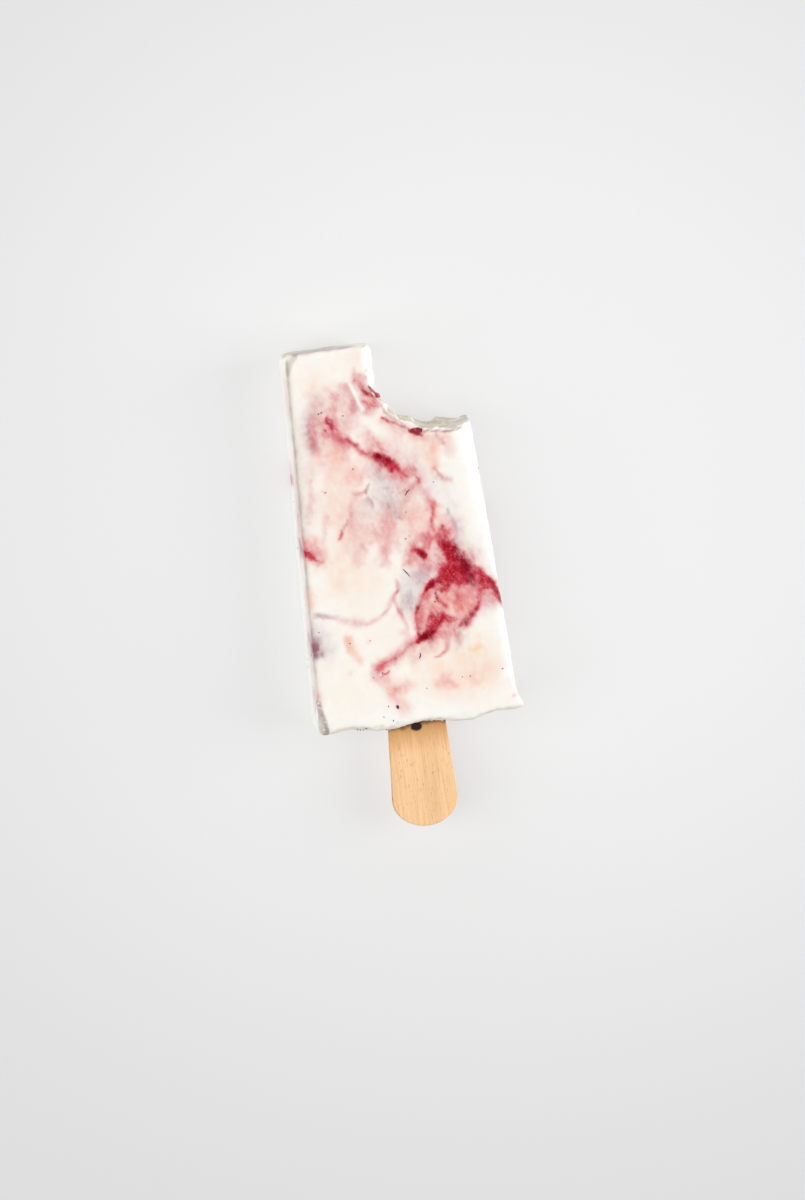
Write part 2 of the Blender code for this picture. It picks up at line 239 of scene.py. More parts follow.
        Streak("crimson", 0.35, (0.3, 0.4), [(-5.7, 43.4), (-5.9, 41.4)]),
        Streak("rose", 0.62, (1.3, 1.8, 1.5), [(-3.8, 39.4), (-2.4, 37.4), (-1.4, 35.4)]),
        Streak("crimson", 0.75, (0.7, 0.9, 0.6), [(-3.7, 38.9), (-2.9, 38.2), (-2.0, 37.4)]),
        Streak("wine", 0.5, (0.4, 0.6, 0.3), [(-3.7, 38.9), (-3.1, 38.4), (-2.4, 37.8)]),
        Streak("apricot", 0.4, (0.8, 0.8), [(-3.0, 38.0), (-2.0, 36.8)]),
        Streak("lavender", 0.3, (0.8,), [(-1.2, 34.4)]),
        Streak("rose", 0.65, (0.6, 0.9, 1.0, 0.9), [(-8.0, 40.4), (-7.4, 38.6), (-7.0, 36.8), (-7.4, 34.8)]),
        Streak("rose", 0.5, (0.9, 0.9), [(-9.4, 40.6), (-8.6, 39.6)]),
        Streak("rose", 0.45, (1.6, 1.5), [(-8.2, 36.6), (-8.0, 33.8)]),
        Streak("rose", 0.5, (1.0, 1.3), [(-4.0, 35.4), (-3.0, 33.8)]),
        Streak("crimson", 0.65, (0.4, 0.6, 0.4, 0.3, 0.35),
               [(0.6, 31.4), (2.0, 30.1), (3.6, 29.2), (5.4, 28.2), (7.2, 27.0)]),
        Streak("wine", 0.5, (0.24, 0.3, 0.32, 0.28), [(0.2, 34.8), (1.7, 32.6), (3.9, 30.1), (7.1, 27.6)]),
        Streak("apricot", 0.6, (0.3, 0.35, 0.35, 0.2),
               [(10.5, 25.9), (14.0, 26.0), (18.0, 25.5), (21.2, 25.9)]),
        Streak("lavender", 0.7, (0.26, 0.3, 0.3, 0.2),
               [(10.5, 25.9), (14.0, 26.0), (18.0, 25.5), (21.2, 25.9)]),
        Streak("rose", 0.45, (1.0, 1.1, 0.9), [(0.4, 30.6), (3.6, 28.6), (7.0, 26.4)]),
        Streak("crimson", 0.9, (0.5, 0.6, 0.4), [(7.0, 26.4), (8.8, 25.9), (10.6, 25.3)]),
        Streak("salmon", 0.4, (1.0, 1.0, 0.8), [(9.0, 25.0), (12.0, 24.4), (14.4, 24.6)]),
        Streak("salmon", 0.28, (1.3, 1.4, 1.3), [(13.0, 22.6), (12.6, 19.8), (13.2, 17.4)]),
        Streak("peach", 0.9, (1.8, 1.8), [(12.8, 22.0), (12.8, 17.0)]),
        Streak("rose", 0.85, (0.5, 0.8, 0.7), [(14.6, 25.4), (15.4, 23.9), (15.7, 22.4)]),
        Streak("rose", 0.35, (1.2, 1.2), [(16.8, 23.6), (17.4, 19.6)]),
    ),
    "spots at the left edge": (
        Streak("crimson", 0.78, (1.0, 1.3, 0.8, 0.4),
               [(-25.6, -0.8), (-24.2, -1.6), (-22.6, -2.8), (-21.2, -3.8)]),
        Streak("wine", 0.7, (0.5, 0.8, 0.5), [(-26.2, 1.2), (-25.4, -1.0), (-26.2, -3.8)]),
        Streak("rose", 0.8, (0.8, 1.5, 2.0, 1.2),
               [(-24.6, 1.8), (-24.0, -0.2), (-22.8, -2.0), (-20.8, -4.2)]),
        Streak("salmon", 0.5, (1.8, 1.6), [(-21.8, 0.6), (-19.8, -3.0)]),
        Streak("lavender", 0.3, (1.4, 1.4), [(-25.6, 9.0), (-25.8, 2.0)]),
        Streak("lavender", 0.9, (1.0, 1.4, 1.2, 0.8),
               [(-26.6, -24.4), (-26.0, -26.8), (-25.0, -28.2), (-23.7, -28.4)]),
        Streak("wine", 0.42, (0.6, 0.9, 0.5), [(-26.6, -25.0), (-25.6, -27.8), (-23.9, -28.4)]),
        Streak("lavender", 0.3, (2.6, 3.0), [(-25.4, -24.0), (-23.4, -27.0)]),
        Streak("peach", 1.0, (1.2, 1.3), [(-24.8, -13.4), (-24.6, -15.4)]),
        Streak("salmon", 0.2, (1.0, 1.0), [(-24.8, -13.6), (-24.6, -15.2)]),
    ),
    "specks down the left side": (
        Streak("wine", 0.8, (0.25, 0.3), [(-25.3, 13.4), (-25.4, 12.2)]),
        Streak("crimson", 0.5, (0.3, 0.35, 0.3), [(-25.6, 9.4), (-25.9, 7.2), (-26.0, 5.0)]),
        Streak("wine", 0.8, (0.3, 0.5, 0.4), [(-26.2, 1.4), (-26.4, -1.4), (-26.5, -4.6)]),
        Streak("crimson", 0.3, (0.3, 0.3), [(-26.6, -8.0), (-26.9, -14.0)]),
        Streak("wine", 0.5, (0.3, 0.4, 0.3), [(-27.2, -38.4), (-27.3, -41.0), (-27.2, -43.6)]),
        Streak("lavender", 0.9, (0.3, 0.5, 0.4), [(-26.3, -44.6), (-25.9, -47.6), (-25.4, -50.4)]),
        Streak("wine", 0.3, (0.2, 0.35, 0.3), [(-26.2, -45.6), (-25.8, -48.0), (-25.4, -50.0)]),
    ),
    "core spot": (
        Streak("crimson", 1.0, (0.9, 1.1, 0.7), [(5.6, -5.1), (6.6, -5.6), (7.2, -6.2)]),
        Streak("wine", 0.9, (0.5, 0.6), [(6.2, -5.4), (6.8, -6.0)]),
        Streak("rose", 0.85, (1.8, 2.2, 1.6), [(4.4, -4.8), (6.4, -5.4), (7.4, -7.0)]),
        Streak("crimson", 0.4, (0.5, 0.6), [(2.8, -4.8), (4.6, -4.8)]),
        Streak("rose", 0.6, (1.0, 1.2), [(1.6, -6.0), (3.2, -4.8)]),
        Streak("crimson", 0.4, (0.5, 0.5, 0.6), [(7.4, -4.0), (9.0, -2.8), (10.8, -1.4)]),
        Streak("rose", 0.7, (1.4, 1.4), [(8.0, -3.4), (11.0, -1.4)]),
        Streak("rose", 0.6, (2.2, 2.4, 2.0), [(4.0, -8.0), (7.0, -9.0), (10.0, -8.0)]),
        Streak("rose", 0.6, (1.6, 1.8), [(10.4, -10.6), (9.6, -12.6)]),
        Streak("lavender", 0.3, (1.4, 1.4), [(8.6, -10.4), (5.8, -11.4)]),
        Streak("rose", 0.55, (0.7, 0.7), [(2.4, -7.0), (1.2, -8.6)]),
        Streak("salmon", 0.45, (1.4, 2.6, 2.4), [(-1.4, 4.8), (-2.8, 1.4), (-3.2, -3.2)]),
        Streak("rose", 0.35, (1.2, 2.2, 1.9, 1.0), [(-1.6, 6.8), (-2.2, 2.0), (-3.4, -2.6), (-4.6, -7.2)]),
        Streak("rose", 0.35, (0.5, 0.7), [(-5.4, 3.6), (-5.0, 0.0)]),
        Streak("rose", 0.4, (0.7, 0.9), [(-8.8, -1.4), (-8.6, -3.2)]),
        Streak("rose", 0.22, (3.6, 3.4), [(-9.0, 4.0), (-10.0, -3.0)]),
        Streak("rose", 0.16, (5.0, 6.0, 4.0), [(6.0, 22.0), (6.0, 8.0), (4.0, -4.0)]),
        Streak("rose", 0.12, (5.0, 5.0), [(-14.0, 24.0), (-12.0, 4.0)]),
        Streak("salmon", 0.4, (2.2, 2.2), [(4.4, 6.0), (7.4, 3.4)]),
        Streak("salmon", 0.3, (2.2, 2.2), [(3.6, 1.6), (6.0, -1.0)]),
    ),
    "milky middle": (
        Streak("lavender", 0.36, (2.6, 4.2, 3.4, 2.0), [(-2.2, 16.4), (-0.4, 12.6), (0.6, 9.0), (0.4, 5.6)]),
        Streak("lavender", 0.2, (1.8, 1.8), [(-1.6, 7.4), (-2.0, 5.0)]),
        Streak("lavender", 0.16, (2.6, 2.4), [(-6.4, 9.6), (-8.4, 6.0)]),
        Streak("lavender", 0.55, (2.0, 2.6, 2.0), [(1.2, -18.6), (2.2, -14.4), (5.2, -11.8)]),
        Streak("lavender", 0.45, (0.35, 0.5, 0.8, 0.7),
               [(15.0, 5.0), (15.7, 2.6), (16.3, -0.6), (16.4, -4.8)]),
        Streak("lavender", 0.2, (1.2, 1.6), [(17.0, 1.0), (19.4, -8.0)]),
        Streak("lavender", 0.15, (2.4, 2.0), [(13.8, 10.6), (16.0, 6.0)]),
        Streak("lavender", 0.2, (1.6, 1.6), [(21.4, -18.6), (22.6, -21.6)]),
        Streak("lavender", 0.15, (2.2, 3.0), [(-22.4, 26.0), (-22.6, 10.0)]),
        Streak("lavender", 0.12, (2.4, 2.6), [(4.0, 20.0), (9.6, 14.6)]),
    ),
    "warm washes and painted tip shade": (
        Streak("peach", 0.55, (7.0, 6.0), [(-14.0, 17.0), (-13.0, -1.0)]),
        Streak("peach", 0.3, (5.0, 4.0), [(-1.0, 30.0), (10.0, 22.0)]),
        Streak("peach", 0.5, (3.2,), [(-16.4, 42.6)]),
        Streak("peach", 0.5, (3.2,), [(-4.4, 46.4)]),
        Streak("peach", 0.8, (3.4, 3.4), [(5.0, 5.0), (9.0, 2.0)]),
        Streak("peach", 0.6, (2.2,), [(-17.6, -10.4)]),
        Streak("peach", 0.35, (6.0,), [(-11.0, -12.0)]),
        Streak("peach", 0.3, (4.0,), [(-6.0, -26.0)]),
        Streak("peach", 0.4, (5.0, 6.0), [(4.0, -35.0), (16.0, -36.0)]),
        Streak("peach", 0.8, (3.0, 4.0, 3.0), [(7.0, -41.0), (14.0, -40.6), (20.0, -38.4)]),
        Streak("apricot", 0.6, (1.5, 1.5), [(16.6, -32.4), (17.8, -32.4)]),
        Streak("apricot", 0.1, (4.0, 5.0, 4.0), [(6.0, -34.0), (15.0, -35.0), (20.0, -37.0)]),
        Streak("apricot", 0.22, (0.9, 1.0, 0.9), [(-16.0, -25.8), (-15.8, -28.6), (-14.4, -31.6)]),
        Streak("apricot", 0.06, (4.0, 4.0), [(-12.0, -14.0), (-16.0, -10.0)]),
        Streak("lavender", 0.5, (1.0, 1.0), [(-24.3, 44.0), (-28.0, -47.0)]),
        Streak("rose", 0.2, (1.0, 1.0), [(-24.3, 44.0), (-28.0, -47.0)]),
        # painted shade: a lavender line on the tip's end, which faces away from the lamps
        Streak("lavender", 0.8, (0.7, 0.8, 0.5), [(-20.0, 51.3), (-12.0, 51.3), (-5.0, 51.3)]),
        Streak("salmon", 0.58, (0.9, 1.1, 0.8), [(6.2, -40.8), (8.8, -40.3), (10.2, -41.2)]),
        Streak("salmon", 0.3, (0.8, 0.8), [(7.2, -38.6), (9.2, -38.8)]),
        Streak("salmon", 0.2, (0.9, 0.9), [(15.2, -40.0), (15.8, -41.6)]),
        Streak("salmon", 0.4, (1.4, 1.4, 1.6), [(-2.4, -40.4), (-5.4, -41.0), (-5.0, -44.2)]),
        Streak("salmon", 0.3, (1.8, 1.6), [(-5.0, -44.2), (-3.6, -46.2)]),
        Streak("rose", 0.3, (0.4, 0.4), [(-6.2, -41.0), (-4.2, -40.4)]),
        Streak("salmon", 0.8, (0.4,), [(25.4, -46.7)]),
        Streak("salmon", 0.25, (0.9, 0.9, 0.8), [(-15.8, -25.8), (-15.9, -28.6), (-14.2, -31.6)]),
        Streak("peach", 0.9, (1.2, 1.3, 1.1), [(-16.2, -25.8), (-15.6, -29.0), (-14.0, -32.0)]),
        Streak("peach", 0.9, (0.6,), [(-10.4, -27.0)]),
        Streak("salmon", 0.2, (0.8,), [(-16.8, -35.0)]),
        Streak("rose", 0.3, (0.9, 0.9), [(-26.4, -38.6), (-26.2, -42.0)]),
        Streak("rose", 0.35, (0.6, 0.6), [(-23.9, 38.6), (-24.1, 34.4)]),
    ),
    "white ice and painted highlights": (
        # painted highlight: a white band down the right edge, where the right lamp lights the rounded edge
        Streak("white", 1.0, (2.2, 2.4, 1.8, 1.5, 1.6),
               [(22.4, 27.0), (23.2, 8.0), (24.0, -8.0), (25.4, -26.0), (26.0, -40.0)]),
        Streak("white", 0.05, (3.2, 3.0), [(-5.4, -24.0), (-7.4, -27.6)]),
        Streak("white", 0.35, (1.8, 2.4, 2.0), [(-16.0, -47.4), (-10.0, -47.6), (8.0, -48.4)]),
        Streak("apricot", 0.08, (5.0, 5.0), [(-19.0, -40.0), (-14.0, -44.0)]),
        Streak("white", 0.5, (1.8, 1.4), [(11.8, 11.2), (14.0, 8.6)]),
        Streak("white", 0.5, (1.1,), [(8.2, 7.2)]),
        Streak("white", 0.6, (1.0,), [(2.2, 13.6)]),
        # painted highlights along the fold by the bite and its soft ridge below it
        Streak("white", 0.9, (0.25, 0.35, 0.4, 0.5),
               [(-7.0, 40.6), (-6.4, 39.0), (-5.7, 37.0), (-5.1, 35.0)]),
        Streak("white", 0.5, (0.6, 0.9, 1.0), [(-4.8, 34.0), (-3.6, 31.4), (-1.4, 28.0)]),
        Streak("white", 0.4, (1.4, 1.0), [(-17.0, 21.0), (-18.0, 16.0)]),
    ),
}
FLAVOURS = ("peach", "apricot", "salmon", "lavender", "rose", "crimson", "wine", "white")
FRUIT_REACH = 9.0  # how far from the front or the back a streak keeps half its strength

# Lines on the front: a fold in the skin by the bite, a shorter one to its right, and the two broken corners.
# The folds are raised, and painted highlights lie along them.
FOLD = [(-7.1, 40.8), (-6.6, 39.4), (-5.9, 37.4), (-5.2, 35.4), (-4.4, 33.8)]
SHORT_FOLD = [(14.5, 25.2), (15.0, 24.0)]
# Painted shade lies along the two broken corners.
TIP_CORNER = [(-23.2, 45.6), (-21.9, 48.4), (-20.4, 49.9)]
MOUTH_CORNER = [(-25.4, -50.0), (-25.6, -46.5), (-26.5, -42.0)]

# Bits of fruit: where each lies on the front, and how many lie elsewhere.
SEEDS = [
    (-15.4, 34.4), (-16.2, 34.2), (-9.9, 32.9), (-15.0, 29.7), (11.7, 12.4), (3.4, 5.5), (3.6, -0.9),
    (2.4, -1.5), (-9.1, 18.6), (9.2, -14.0), (3.4, -20.4), (8.4, -16.9), (8.7, -18.1), (8.0, -19.1),
    (-23.6, -23.0), (12.7, -39.9), (14.8, -40.0), (-15.8, -27.0), (-7.0, -48.9), (-10.8, -36.8),
    (-8.2, -36.0), (13.3, -24.5), (12.4, -23.9), (-7.8, -45.0), (-9.4, -47.6), (2.9, -41.6),
    (23.6, -39.2), (-10.4, -27.0),
]
BIG_SEED = (-5.4, -45.5)
MOUTH_BITS = (-16.7, -15.9, -15.1, -14.4, -9.0, 6.6)  # bits of skin that hang at the mouth's front edge
BACK_SEEDS = 26
SIDE_SEEDS = 9  # on each side
FIBRES = [
    [(5.2, 11.4), (4.4, 10.7), (3.7, 9.8)],
    [(0.6, -9.3), (1.5, -10.4), (2.3, -11.6)],
    [(2.4, -32.0), (2.4, -32.8), (1.9, -33.5)],
]

# The plain oval burnt into the stick: its middle, and half its width and length.
SCORCH_MIDDLE = (-0.2, -52.6)
SCORCH_REACH = (1.5, 1.2)


def linear(code):
    """An sRGB hex colour as linear red, green, blue and alpha."""
    shares = [int(code[place:place + 2], 16) / 255 for place in (0, 2, 4)]
    return (*(c / 12.92 if c <= 0.04045 else ((c + 0.055) / 1.055) ** 2.4 for c in shares), 1.0)


def paint(name, description, code):
    """A colour property with an sRGB hex default."""
    return FloatVectorProperty(
        name=name, description=description, default=linear(code), size=4, subtype="COLOR", min=0, max=1
    )


def length(name, description, millimetres):
    """A length property with a default in millimetres."""
    return FloatProperty(
        name=name, description=description, default=millimetres * MM, min=0, subtype="DISTANCE", unit="LENGTH"
    )


def power(name, description, watts):
    """A light's power property with a default in watts."""
    return FloatProperty(
        name=name, description=description, default=watts, min=0, subtype="POWER", unit="POWER"
    )


class IcePopBar(bpy.types.PropertyGroup):
    """Sizes and colours of the frozen bar."""

    spacing: length("Mesh spacing", "Distance between the points of the bar's mesh", 0.44)
    swell: length("Swell", "How far the moulded faces rise and fall", 0.1)
    crumble: length("Crumble", "How rough the bitten face is", 0.42)
    cream: paint("Cream", "The plain frozen yoghurt", "F6F1E8")
    # White ice; the same white also paints the highlights along the right edge, the folds and the sides.
    white: paint("White ice", "Yoghurt with fine air or frost in it", "FCFCFA")
    peach: paint("Peach", "A faint wash of juice", "F7DCCD")
    apricot: paint("Apricot", "Yellower pulp", "F3C58F")
    salmon: paint("Salmon", "Pulp mixed well into the yoghurt", "E68880")
    lavender: paint("Lavender", "Dark juice under a milky layer", "A5808F")
    rose: paint("Rose", "Juice that has spread from a streak", "D9767C")
    crimson: paint("Crimson", "Fruit pulp in a thick streak", "B01228")
    wine: paint("Wine", "Skins and the middle of a streak", "82041E")
    # Painted shade: an olive grey laid along the left edge, the tip's end, the corners, the mouth's edge and
    # low in the bite.
    painted_shade: paint("Painted shade", "Olive grey shade painted along the edges", "A8A184")


class IcePopFruit(bpy.types.PropertyGroup):
    """Sizes and colours of the bits of fruit and frost on the bar."""

    seed_size: length("Seed", "Length of a berry seed", 0.7)
    fibre_width: length("Fibre", "Width of a berry fibre", 0.26)
    crumb_size: length("Crumb", "Width of the largest frost crumb", 0.75)
    crumbs: IntProperty(name="Crumbs", description="How many frost crumbs there are", default=230, min=0)
    skin: paint("Berry skin", "Frozen berry flesh with its skin", "9E202A")
    seed: paint("Seed", "Berry seeds and fibres", "2E1014")
    frost: paint("Frost", "Crumbs of frost", "FBFBF8")


class IcePopStick(bpy.types.PropertyGroup):
    """Sizes and colours of the stick."""

    spacing: length("Mesh spacing", "Distance between the points of the stick's mesh", 0.26)
    wood: paint("Birch", "Sliced and sanded birch", "FFD4A3")
    grain: paint("Grain", "The darker lines along the wood", "E5B27C")
    fleck: paint("Fleck", "Short dark flecks between the lines", "BD8C5A")
    scorch: paint("Scorch", "The plain oval burnt in near the ice", "2C130D")


class IcePopStage(bpy.types.PropertyGroup):
    """The floor, the light and the camera."""

    floor: paint("Floor", "The floor's own colour", "9C9C9C")
    glow: FloatProperty(
        name="Floor glow", description="Light that the pale floor gives off", default=0.53, min=0
    )
    room: FloatProperty(name="Room", description="Light of the room above", default=0.18, min=0)
    left: power("Left light", "Power of the left light", 7.7)
    right: power("Right light", "Power of the right light", 8.3)
    tip: power("Tip light", "Power of the light at the tip's end", 2.4)
    distance: FloatProperty(
        name="Camera distance", description="From the camera to the bar", default=1.2, min=0.3,
        subtype="DISTANCE", unit="LENGTH"
    )


# ---- numbers at points ----


SOFT, CRISP = 2, 4  # how sharply a thing ends at its width


def ease(low, high, value):
    """0 at low and before it, 1 at high and past it, and smooth between. Low may be the larger of them."""
    share = np.clip((value - low) / (high - low), 0, 1)
    return share * share * (3 - 2 * share)


NOISE_TURN = np.array(Matrix.Rotation(0.7, 3, Vector((0.36, 0.48, 0.8))))


def noise(points, size, seed, stretch=(1, 1, 1)):
    """Smooth noise from -1 to 1 at points, with bumps about as wide as size."""
    grid = (points / stretch) @ NOISE_TURN / size + 500 + seed * 17.3
    cell = np.floor(grid).astype(np.int64)
    share = grid - cell
    share = share * share * (3 - 2 * share)
    total = np.zeros(len(points))
    for corner in np.ndindex(2, 2, 2):
        weight = np.where(corner, share, 1 - share).prod(axis=1)
        x, y, z = (cell + corner).T
        mixed = x * 73856093 ^ y * 19349663 ^ z * 83492791 ^ seed * 2654435761  # large primes mix well
        mixed = (mixed ^ mixed >> 13) * 1274126177
        total += weight * ((mixed >> 7 & 0xFFFF) / 32767.5 - 1)
    return total


def crests(points, size, seed, stretch=(1, 1, 1)):
    """Noise of up to 1 that is sharp at its crests and round in its hollows."""
    return 1 - np.abs(noise(points, size, seed, stretch)) * 1.6


def line_distance(places, line):
    """How far each place is from a line, and how far along the line its nearest point is, from 0 to 1."""
    line = np.array(line, float)
    if len(line) == 1:
        line = np.array([line[0], line[0] + 0.001])
    runs = np.concatenate([[0], np.cumsum(np.hypot(*np.diff(line, axis=0).T))])
    runs /= runs[-1]
    nearest = np.full(len(places), np.inf)
    along = np.zeros(len(places))
    for start, end, run, next_run in zip(line, line[1:], runs, runs[1:]):
        step = end - start
        share = np.clip((places - start) @ step / (step @ step), 0, 1)
        gap = np.hypot(*(places - start - share[:, None] * step).T)
        along = np.where(gap < nearest, run + share * (next_run - run), along)
        nearest = np.minimum(nearest, gap)
    return nearest, along


def near(gap, width, sharpness=SOFT):
    """1 where a gap is 0, half where it is the width, and less beyond, falling faster with more sharpness."""
    return 0.5 ** ((gap / width) ** sharpness)


def near_line(points, line, width, sharpness=SOFT):
    """How near points are to a line of the front, from 0 to 1."""
    return near(line_distance(points[:, :2], line)[0], width, sharpness)


def streak_strength(streak, places, feather):
    """How much of a streak there is at each place: half its strength at its width, which feather varies."""
    gap, along = line_distance(places, streak.line)
    width = np.interp(along, np.linspace(0, 1, len(streak.widths)), streak.widths) * feather
    return streak.strength * near(gap, width, CRISP if streak.hard else SOFT)


def front_height(y):
    """How high the front face is at each y."""
    return np.interp(y, (MOUTH, TIP), (MOUTH_THICKNESS, TIP_THICKNESS))


def half_width(y):
    """Half the bar's width at each y."""
    return np.interp(y, (MOUTH, TIP), (MOUTH_HALF_WIDTH, TIP_HALF_WIDTH))


def from_bite(points):
    """How far into the ice each point is from the bite's line, and the level direction out into the bite."""
    inward = np.clip(BITE_CENTRE - points[:, :2], 1e-6, None)
    reach = (inward ** BITE_POWER).sum(axis=1) ** (1 / BITE_POWER)
    outward = inward ** (BITE_POWER - 1)
    return reach - BITE_REACH, outward / np.hypot(*outward.T)[:, None]


def bitten(points, normals):
    """1 on the bitten face, and 0 on the moulded ones."""
    inside, outward = from_bite(points)
    facing = (normals[:, :2] * outward).sum(axis=1)
    return ease(0.15, 0.55, facing) * ease(2.2, 1.2, inside)


def ripple(points):
    """How strong each flavour of the ripple is at each point, from 0 to 1."""
    level = points.copy()
    for size, reach, seed in ((8, 0.6, 1), (2.6, 0.5, 2), (1.0, 0.24, 3)):
        level[:, 0] += reach * noise(points, size, seed)
        level[:, 1] += reach * noise(points, size, seed + 10)
    under_front = np.clip(front_height(points[:, 1]) - points[:, 2], 0, None)
    drift = np.stack([noise(points, 14, 21), noise(points, 14, 22)], axis=1)
    front = level[:, :2] + drift * under_front[:, None] * 0.3
    back = -level[:, :2] - drift * points[:, 2:] * 0.3
    amounts = {flavour: np.ones(len(points)) for flavour in FLAVOURS}
    feather = 1 + 0.28 * noise(points, 2.4, 33) + 0.16 * noise(points, 1.0, 34)
    for places, depth in ((front, under_front), (back, points[:, 2])):
        fading = near(depth, FRUIT_REACH)
        reached = depth < FRUIT_REACH * 2.2  # deeper in, too little of a streak is left to show
        for streaks in RIPPLE.values():
            for streak in streaks:
                strength = streak_strength(streak, places[reached], feather[reached])
                amounts[streak.flavour][reached] *= 1 - strength * fading[reached]
    patchy = 0.94 + 0.34 * noise(points, 2.2, 31, (1, 1.7, 1)) + 0.24 * noise(points, 0.9, 32, (1, 1.5, 1))
    return {flavour: np.clip((1 - amount) * patchy, 0, 1) for flavour, amount in amounts.items()}


# ---- meshes ----


def points_of(mesh):
    """A mesh's points in millimetres."""
    points = np.empty(len(mesh.vertices) * 3, np.float32)
    mesh.vertices.foreach_get("co", points)
    return points.reshape(-1, 3).astype(float) / MM


def move_points(mesh, points):
    """Moves a mesh's points to places in millimetres."""
    mesh.vertices.foreach_set("co", (points * MM).astype(np.float32).ravel())
    mesh.update()


def normals_of(mesh):
    """The way the surface faces at each of a mesh's points."""
    normals = np.empty(len(mesh.vertices) * 3, np.float32)
    mesh.vertex_normals.foreach_get("vector", normals)
    return normals.reshape(-1, 3).astype(float)


def hold(mesh, name, values):
    """Keeps a number for each of a mesh's points, for its material to read."""
    mesh.attributes.new(name, "FLOAT", "POINT").data.foreach_set("value", values.astype(np.float32))


def surface_of(mesh):
    """A mesh as a surface that rays can meet, in metres."""
    return BVHTree.FromPolygons([v.co for v in mesh.vertices], [p.vertices for p in mesh.polygons])


def fine_copy(node, name, spacing):
    """A new object with the surface of a CAD node, meshed evenly."""
    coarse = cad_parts[node].data
    piece = bpy.data.objects.new(name, coarse.copy())
    bpy.context.scene.collection.objects.link(piece)
    remesh = piece.modifiers.new("even", "REMESH")
    remesh.mode = "VOXEL"
    remesh.voxel_size = spacing
    evaluated = piece.evaluated_get(bpy.context.evaluated_depsgraph_get())
    mesh = bpy.data.meshes.new_from_object(evaluated)
    piece.modifiers.clear()
    surface = surface_of(coarse)
    for vertex in mesh.vertices:
        nearest = surface.find_nearest(vertex.co, spacing)[0]
        if nearest is not None:
            vertex.co = nearest
    piece.data = mesh
    mesh.name = name
    if "sharp_face" in mesh.attributes:
        mesh.attributes.remove(mesh.attributes["sharp_face"])
    mesh.shade_smooth()
    return piece


def new_piece(name, points, faces, material):
    """A new object from points in millimetres and faces."""
    mesh = bpy.data.meshes.new(name)
    mesh.from_pydata((np.asarray(points) * MM).tolist(), [], faces)
    mesh.shade_smooth()
    mesh.materials.append(material)
    piece = bpy.data.objects.new(name, mesh)
    bpy.context.scene.collection.objects.link(piece)
    return piece


def settle(piece, slot, *nodes):
    """Fixes a piece to the object, in place of CAD nodes if any are named. The slot is not used."""
    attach(piece, BODY)
    if nodes:
        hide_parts(*nodes)


def shave(points, corner, outward):
    """Presses what stands beyond a plane back on to it."""
    outward = np.array(outward, float) / np.linalg.norm(outward)
    beyond = np.clip((points - corner) @ outward, 0, None)
    return points - np.outer(beyond, outward)


def ball(subdivisions):
    """The points and faces of a round ball of radius 1."""
    shape = bmesh.new()
    bmesh.ops.create_icosphere(shape, subdivisions=subdivisions, radius=1)
    points = np.array([v.co for v in shape.verts])
    faces = [[v.index for v in face.verts] for face in shape.faces]
    shape.free()
    return points, faces


def chunk(size, cuts, draw, subdivisions=2):
    """A lump with flat, cut faces: its points, in millimetres about its middle, and its faces."""
    points, faces = ball(subdivisions)
    for _ in range(cuts):
        outward = np.array([draw.gauss(0, 1) for _ in range(3)])
        outward /= np.linalg.norm(outward)
        points = shave(points, outward * draw.uniform(0.55, 0.85), outward)
    return points * np.array(size) / 2, faces


def turned(points, place, facing, spin):
    """Points turned so that their z faces a direction, and moved to a place."""
    lean = Vector((0, 0, 1)).rotation_difference(Vector(facing)).to_matrix()
    turn = lean @ Matrix.Rotation(spin, 3, "Z")
    return points @ np.array(turn).T + place


def joined(name, lumps, material):
    """One piece from many lumps of points and faces."""
    points = np.concatenate([lump for lump, _ in lumps])
    faces = []
    first = 0
    for lump, its_faces in lumps:
        faces += [[first + index for index in face] for face in its_faces]
        first += len(lump)
    points[:, 2] = np.clip(points[:, 2], 0, None)
    return new_piece(name, points, faces, material)


# ---- materials ----

# Some sockets are known by number: a Mix node's colours, and a Map Range node's value (0), the range that it
# comes from (1 and 2) and the range that it goes to (3 and 4). A Math node's numbers are in order from 0.
MIX_A, MIX_B, MIX_COLOUR = 6, 7, 2


def add(tree, kind, inputs=(), stops=(), **settings):
    """Adds a shader node with its settings, its colour stops if any, and its inputs as values or as sockets
    to link. The lowest and the highest stop come first.
    """
    node = tree.nodes.new("ShaderNode" + kind)
    for name, value in settings.items():
        setattr(node, name, value)
    for key, value in dict(inputs).items():
        if isinstance(value, bpy.types.NodeSocket):
            tree.links.new(value, node.inputs[key])
        else:
            node.inputs[key].default_value = value
    for index, (position, colour) in enumerate(stops):
        ramp = node.color_ramp.elements
        stop = ramp.new(position) if index > 1 else ramp[index]
        stop.position = position
        stop.color = colour
    return node


def new_material(name, **sockets):
    """A material with its node tree and its Principled shader, some of whose sockets are set."""
    material = bpy.data.materials.new(name)
    material.use_nodes = True
    shader = material.node_tree.nodes["Principled BSDF"]
    for socket, value in sockets.items():
        shader.inputs[socket.replace("_", " ")].default_value = value
    return material, material.node_tree, shader


def per_metre(millimetres):
    """The texture scale that makes one feature about this many millimetres wide."""
    return 1 / (millimetres * MM)


def layered(tree, colour, *layers):
    """A colour with layers of other colours over it, each with how much of it shows."""
    for above, share in layers:
        mix = add(tree, "Mix", {0: share, MIX_A: colour, MIX_B: above}, data_type="RGBA", clamp_factor=True)
        colour = mix.outputs[MIX_COLOUR]
    return colour


